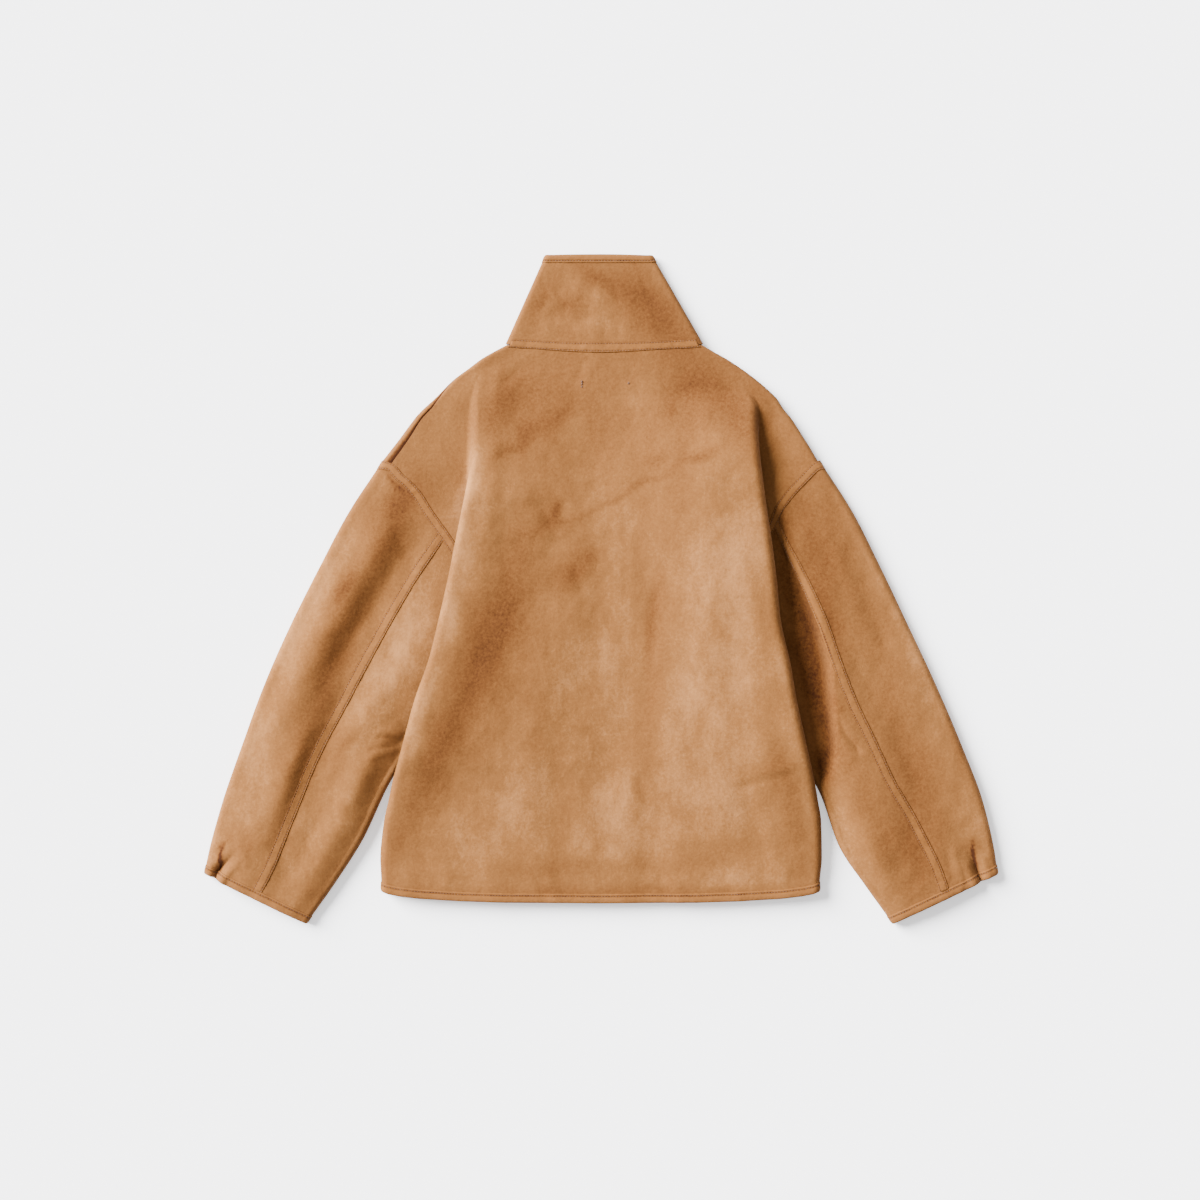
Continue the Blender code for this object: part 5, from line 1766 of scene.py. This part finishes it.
def binding_rings(edge: Array, outward: Array, normal: Array, width: float) -> Array:
    """Sections of a folded binding that wraps a raw edge.

    Each section is the profile in the plane of the outward way and the cloth's normal, and its
    mirror image below; the sections' own inner wall closes it clear of the cloth.

    Args:
        edge: points of the cloth's edge, half way through it.
        outward: unit way out of the cloth.
        normal: unit normal of the cloth.
        width: how far the binding reaches out.

    Returns:
        The sections' points.
    """
    top = [(a * width / BINDING_WIDTH, b) for a, b in BINDING_PROFILE]
    section = top + [(a, -b) for a, b in reversed(top[:-1])]
    section += [(BINDING_INNER[0], -BINDING_INNER[1]), BINDING_INNER]
    return np.stack([edge + outward * (SEAM_GAP + a) + normal * b for a, b in section], axis=1)


TAPE_PROFILE = (
    (-0.500, 0.10), (-0.495, 0.50), (-0.44, 0.72), (-0.385, 0.68), (-0.355, 0.45), (-0.325, 0.68),
    (-0.20, 0.80), (0.0, 0.84), (0.20, 0.80), (0.325, 0.68), (0.355, 0.45), (0.385, 0.68), (0.44, 0.72),
    (0.495, 0.50), (0.500, 0.10),
)
STITCH_AT = 0.355
TAPE_EDGE_AT = 0.5
# Painted shade along the tape's stitch lines and edges: how dark, and its half width as a part of the width.
TAPE_SHADE = 1.4
TAPE_SHADE_HALF_WIDTH = 0.03
TAPE_LIFT = 0.08
TUCK_STEPS = 4.0
# How much painted shade those points of the binding take.
BINDING_SHADE = 0.9
BINDING_STITCH_AT = 0.15
BINDING_STITCH_UP = 2.0
FRONT_STRIP = (8.0, 4.0, 0.0)
FRONT_STRIP_POINTS = 60

# Columns or rows taken each side of a seam for the line across it, and the seam's place in it.
LINE_REACH = 6
NECK_SEAM_IN_LINE = 6.2

# The armhole tape: the way up the shoulder from the seam, the steps there, and the part of the
# seam below the shoulder tip that it leaves to the side fold.
SHOULDER_WAY = (-0.54, 0.84)
SHOULDER_STEPS = (12.0, 9.0, 6.0, 3.0)
ARMHOLE_TAPE_LEFT_OUT = 0.36
ARMHOLE_SEAM_IN_LINE = 3.8

# Bar tacks below the collar: middle, height and how many threads side by side.
TACK_COLUMNS = ("x", "y", "tall", "threads")
TACKS = ((-21.3, 235.0, 9.5, 3), (32.2, 236.5, 4.5, 4))
TACK_PITCH = 0.45
TACK_LIFT = 0.1


def tape_lines(lines: list, centres: list, width: float, offsets: Array) -> Array:
    """Points across a seam at the given offsets, on each line that crosses it.

    Args:
        lines: points of each crossing line.
        centres: the seam's place in each line, as a fraction of its numbering.
        width: the tape's width.
        offsets: places across the tape, from -0.5 to 0.5.

    Returns:
        Points, one row for each line.
    """
    points = []
    for line, middle in zip(lines, centres):
        length = np.concatenate(([0], np.cumsum(np.linalg.norm(np.diff(line, axis=0), axis=1))))
        centre = np.interp(middle, np.arange(len(line)), length)
        places = centre + np.asarray(offsets) * width
        points.append(np.stack([np.interp(places, length, line[:, k]) for k in range(3)], axis=1))
    return np.array(points)


def relax(points: Array, rounds: int) -> Array:
    """Smooth a grid: each inner row moves to (before + 2 * itself + after) / 4.

    Args:
        points: the grid.
        rounds: how often it is done.

    Returns:
        The smoothed grid.
    """
    for _ in range(rounds):
        points[1:-1] = (points[:-2] + 2 * points[1:-1] + points[2:]) / 4
    return points


@dataclass
class Trim:
    """Bindings, tapes and their stitches."""

    finishes: Finishes
    body: Body
    sleeves: dict
    sewing: Sewing

    def tape(self, name: str, lines: list, centres: list, tucked: bool = False) -> list:
        """A tape sewn over a seam with a row of stitches along each edge.

        Args:
            name: the tape's node.
            lines: middle points of the cloth on lines across the seam.
            centres: the seam's place in each line.
            tucked: whether its first end lies under another tape.

        Returns:
            The tape and its stitches.
        """
        offsets = np.array([a for a, _ in TAPE_PROFILE])
        rises = np.array([b for _, b in TAPE_PROFILE])
        points = relax(tape_lines(lines, centres, TAPE_WIDTH, offsets), 2)
        normals = normals_of(points, (len(points) // 2, len(offsets) // 2))
        face = points + normals * CLOTH / 2
        pucker = 1 + rumple(face[..., 0], face[..., 1], TAPE_RUMPLE)
        laid = smoothstep(np.arange(len(points)) / TUCK_STEPS)[:, None] if tucked else 1.0
        top = face + normals * (rises[None, :] * pucker * laid)[..., None]
        rings = np.concatenate((top, face[:, ::-1] + normals[:, ::-1] * TAPE_LIFT), axis=1)
        # Painted shade in the stitch channels and along the tape's edges.
        dark = sum(
            TAPE_SHADE * np.exp(-(((np.abs(offsets) - at) / TAPE_SHADE_HALF_WIDTH) ** 2))
            for at in (STITCH_AT, TAPE_EDGE_AT)
        )
        shade = np.concatenate((dark, dark[::-1]))
        band = sweep(name + "_band", rings, self.finishes.trim, shade)
        rows = []
        for at in (-STITCH_AT, STITCH_AT):
            column = int(np.argmin(np.abs(offsets - at)))
            rows.append(self.sewing.row(top[:, column], normals[:, column]))
        return [band, self.sewing.make(name + "_stitches", rows)]

    def binding(self, name: str, grid: Array, up_at: int, width: float, outward: Array | None = None,
                closed: bool = False) -> list:
        """A binding folded round a cloth's last row, with a row of stitches on each face.

        Args:
            name: the binding's node.
            grid: middle points of the cloth, the bound edge last.
            up_at: a column where the outer face looks up.
            width: how far the binding reaches.
            outward: the way out, where it is the same all along.
            closed: whether the edge is a loop.

        Returns:
            The binding and its stitches.
        """
        normals = normals_of(grid[-3:], (1, up_at))[-1]
        edge = grid[-1]
        way = unit(edge - grid[-2]) if outward is None else np.broadcast_to(unit(outward), edge.shape)
        if closed:
            closing = unit(normals[0] + normals[-1])
            edge, way, normals = edge[:-1], way[:-1], np.concatenate((closing[None], normals[1:-1]))
        rings = binding_rings(edge, way, normals, width)
        # Painted shade at the binding's edge and in its stitch groove.
        shade = np.zeros(rings.shape[1])
        shade[list(BINDING_PAINTED_SHADE_POINTS)] = BINDING_SHADE
        band = sweep(name + "_band", rings, self.finishes.trim, shade, closed)
        rows = []
        for sign in (1.0, -1.0):
            line = edge + way * (SEAM_GAP + BINDING_STITCH_AT * width) + normals * sign * BINDING_STITCH_UP
            rows.append(self.sewing.row(line, normals * sign))
        return [band, self.sewing.make(name + "_stitches", rows)]

    def make_bindings(self) -> dict:
        """Hem, collar, cuff and front edge bindings.

        Returns:
            Lists of objects by node.
        """
        made = {}
        halves = []
        for side in (Side.LEFT, Side.RIGHT):
            back, front = self.body.backs[side], self.body.fronts[side]
            row = np.concatenate((back[-3:, : SIDE_SEAM + 1], front[-3:, FOLD_STEPS + 4 :]), axis=1)
            corner = row[:, -1:].copy()
            corner[:, :, 0] = side.value * FRONT_EDGE
            halves.append(np.concatenate((row, corner), axis=1))
        hem = both_sides(halves[0], halves[1])
        down = np.array((0.0, -1.0, 0.0))
        middle = (hem.shape[1] - 1) // 2
        made["hem_binding"] = self.binding("hem_binding", hem, middle, BINDING_WIDTH, down)
        collar = self.body.collar
        middle = (collar.shape[1] - 1) // 2
        made["collar_binding"] = self.binding("collar_binding", collar[-3:], middle, COLLAR_BINDING)
        for side, sleeve in self.sleeves.items():
            ring = np.concatenate((sleeve.tube, sleeve.tube[:, :1]), axis=1)[-3:]
            name = f"cuff_binding_{side.word}"
            made[name] = self.binding(name, ring, sleeve.upper_count // 2, BINDING_WIDTH, closed=True)
            edge_x = side.value * (FRONT_EDGE + BINDING_WIDTH + SEAM_GAP)
            y = np.linspace(COLLAR_FRONT_Y, PANEL_END_Y, FRONT_STRIP_POINTS)
            name = f"front_binding_{side.word}"
            level = FLOOR + 0 * y
            strip = [np.stack((edge_x + side.value * back + 0 * y, y, level), axis=1) for back in FRONT_STRIP]
            made[name] = self.binding(name, np.stack(strip), FRONT_STRIP_POINTS // 2, BINDING_WIDTH)
        return made

    def make_tapes(self) -> dict:
        """Neck, armhole and sleeve seam tapes.

        Returns:
            Lists of objects by node.
        """
        made = {}
        back, collar = self.body.back, self.body.collar
        inset = WRAP_STEPS + 1
        side_count = (collar.shape[1] - back.shape[1]) // 2
        lines = [
            np.concatenate((back[LINE_REACH - 1 :: -1, k], collar[:LINE_REACH, k + side_count]))
            for k in range(inset, back.shape[1] - inset)
        ]
        made["neck_tape"] = self.tape("neck_tape", lines, [NECK_SEAM_IN_LINE] * len(lines))
        for side, sleeve in self.sleeves.items():
            tube, seam = sleeve.tube, sleeve.seam_column
            lines = [row[seam - LINE_REACH : seam + LINE_REACH + 1] for row in tube[1:]]
            made[f"sleeve_tape_{side.word}"] = self.tape(
                f"sleeve_tape_{side.word}", lines, [LINE_REACH] * len(lines), tucked=True
            )
            name = f"armhole_tape_{side.word}"
            made[name] = self.tape(name, *self.armhole_lines(side, sleeve))
        return made

    def armhole_lines(self, side: Side, sleeve: Sleeve) -> tuple:
        """Lines across the armhole seam, from the shoulder fold in to below the side fold.

        Args:
            side: which half.
            sleeve: its sleeve.

        Returns:
            The lines, and the seam's place in each.
        """
        tube = sleeve.tube
        back = self.body.backs[side]
        up_shoulder = unit(np.array((SHOULDER_WAY[0] * side.value, SHOULDER_WAY[1], 0.0)))
        lines = []
        for column in range(1 - LINE_REACH, 1):
            inside = tube[0, column] + up_shoulder * np.array(SHOULDER_STEPS)[:, None]
            lines.append(np.concatenate((inside, tube[:LINE_REACH, column])))
        last = back.shape[1] - WRAP_STEPS - 2
        end = ARMPIT_ROW - int(ARMHOLE_ROW_COUNT * ARMHOLE_TAPE_LEFT_OUT)
        for k, row in enumerate(range(TIP_ROW, end)):
            inside = back[row, last - 4 : last]
            lines.append(np.concatenate((inside, tube[:LINE_REACH, k + 1])))
        return lines, [ARMHOLE_SEAM_IN_LINE] * len(lines)

    def make_tacks(self) -> bpy.types.Object:
        """Two bar tacks below the neck seam, a tall one and a short knot.

        Returns:
            Their object.
        """
        rows = []
        half = (self.body.back.shape[1] - 1) // 2
        top = self.body.back[:, half - TOP_STEPS : half + TOP_STEPS]
        thread = Sewing(self.finishes, stitch=3.2, pitch=3.0, thick=1.0)
        up = np.tile(np.array((0.0, 0.0, 1.0)), (3, 1))
        for values in TACKS:
            tack = dict(zip(TACK_COLUMNS, values))
            distance = np.hypot(top[..., 0] - tack["x"], top[..., 1] - tack["y"])
            height = top[..., 2].ravel()[np.argmin(distance)] + CLOTH / 2 + TACK_LIFT
            for k in range(tack["threads"]):
                x = tack["x"] + (k - (tack["threads"] - 1) / 2) * TACK_PITCH
                ends = [(x, tack["y"] + tack["tall"] / 2 * t, height) for t in (-1.0, 0.0, 1.0)]
                rows.append(thread.row(np.array(ends), up))
        return self.sewing.make("back_tacks", rows)


# ---------------------------------------------------------------- stage


@dataclass(frozen=True)
class Lamp:
    """A far soft lamp: where it stands, how wide it is seen from the coat, and how bright."""

    name: str
    place: tuple
    spread: float
    strength: float

    def make(self) -> None:
        """Hang the lamp and turn it to the coat."""
        light = bpy.data.lights.new(self.name, "SUN")
        light.angle = self.spread
        light.energy = self.strength
        obj = bpy.data.objects.new(self.name, light)
        bpy.context.scene.collection.objects.link(obj)
        obj.location = self.place
        x, y, z = self.place
        obj.rotation_euler = (float(np.arctan2(np.hypot(x, y), z)), 0.0, float(np.arctan2(-x, y)) + np.pi)


@dataclass
class Stage:
    """Plain floor, soft studio light and the camera above the coat."""

    centre: tuple = (-0.0006, -0.012)
    height: float = 3.0
    shown: float = 1.38
    sensor: float = 36.0
    floor_half: float = 60000.0
    floor_drop: float = 0.4
    floor: Paper = Paper("backdrop paper", "#F3F3F5", 0.6)
    lamps: tuple = (
        Lamp("key", (-2.15, 1.35, 1.45), 0.66, 27.6),
        Lamp("top", (0.3, 0.4, 3.6), 1.2, 0.8),
    )
    sky: float = 0.60

    def make(self) -> None:
        """Make the camera, floor and lights."""
        data = bpy.data.cameras.new("camera")
        camera = bpy.data.objects.new("camera", data)
        bpy.context.scene.collection.objects.link(camera)
        camera.location = (*self.centre, self.height)
        data.sensor_width = self.sensor
        data.lens = self.sensor * self.height / self.shown
        bpy.context.scene.camera = camera
        points = np.array(((-1, -1, 0), (1, -1, 0), (1, 1, 0), (-1, 1, 0)), dtype=float) * self.floor_half
        points[:, 2] = -self.floor_drop
        floor = mesh_of("floor", points, np.array([[0, 1, 2, 3]]), [self.floor.make()], np.zeros(1))
        for lamp in self.lamps:
            lamp.make()
        world = bpy.data.worlds.new("studio")
        bpy.context.scene.world = world
        world.use_nodes = True
        background = world.node_tree.nodes["Background"]
        background.inputs["Color"].default_value = linear("#FFFFFF")
        background.inputs["Strength"].default_value = self.sky


def hand_over(pieces: list, node: str) -> None:
    """Let pieces ride with the coat and stand for a node.

    Args:
        pieces: the objects, the one that stands for the node first.
        node: the solid's name.
    """
    for k, piece in enumerate(pieces):
        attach(piece, "root")
        if k == 0:
            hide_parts(node)
        LOG.info("%s: %d faces", piece.name, len(piece.data.polygons))


def main() -> None:
    """Build the coat piece by piece, then its stage."""
    logging.basicConfig(level=logging.INFO, format="%(name)s: %(message)s")
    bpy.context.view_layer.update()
    finishes = Finishes(
        Suede("brushed faux suede", "#331807", "#502E11", "#6A4421", "#93663E").make(),
        Suede("faux suede binding", "#331805", "#553210", "#6C4522", "#8C6137", mottle=0.5).make(),
        Pile("shearling pile", "#623D21", "#9D7653").make(),
        Thread("sewing thread", "#552F12").make(),
    )
    Stage().make()
    left = BodyHalf(Side.LEFT, FOLD_LEFT, SHOULDER_LEFT, ARMHOLE_LEFT, COLLAR_TOP_LEFT)
    right = BodyHalf(Side.RIGHT, FOLD_RIGHT, SHOULDER_RIGHT, ARMHOLE_RIGHT, COLLAR_TOP_RIGHT)
    body = Body(finishes, left, right)
    sleeves = {
        Side.LEFT: Sleeve(finishes, left, STATIONS_LEFT, HEIGHTS_LEFT, LEFT_SEAM_Y, PLEAT_LEFT,
                          SLEEVE_CREASES_LEFT),
        Side.RIGHT: Sleeve(finishes, right, STATIONS_RIGHT, HEIGHTS_RIGHT, RIGHT_SEAM_Y, PLEAT_RIGHT,
                           SLEEVE_CREASES_RIGHT, RIDGE_RIGHT),
    }
    panels = dict(zip(("back", "front_left", "front_right", "collar"), body.make_panels()))
    for sleeve in sleeves.values():
        panels.update(sleeve.make_panels())
    for node, panel in panels.items():
        hand_over([panel], node)
    trim = Trim(finishes, body, sleeves, Sewing(finishes))
    for node, pieces in trim.make_bindings().items():
        hand_over(pieces, node)
    for node, pieces in trim.make_tapes().items():
        hand_over(pieces, node)
    tacks = trim.make_tacks()
    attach(tacks, "root")


if __name__ == "__main__":
    main()
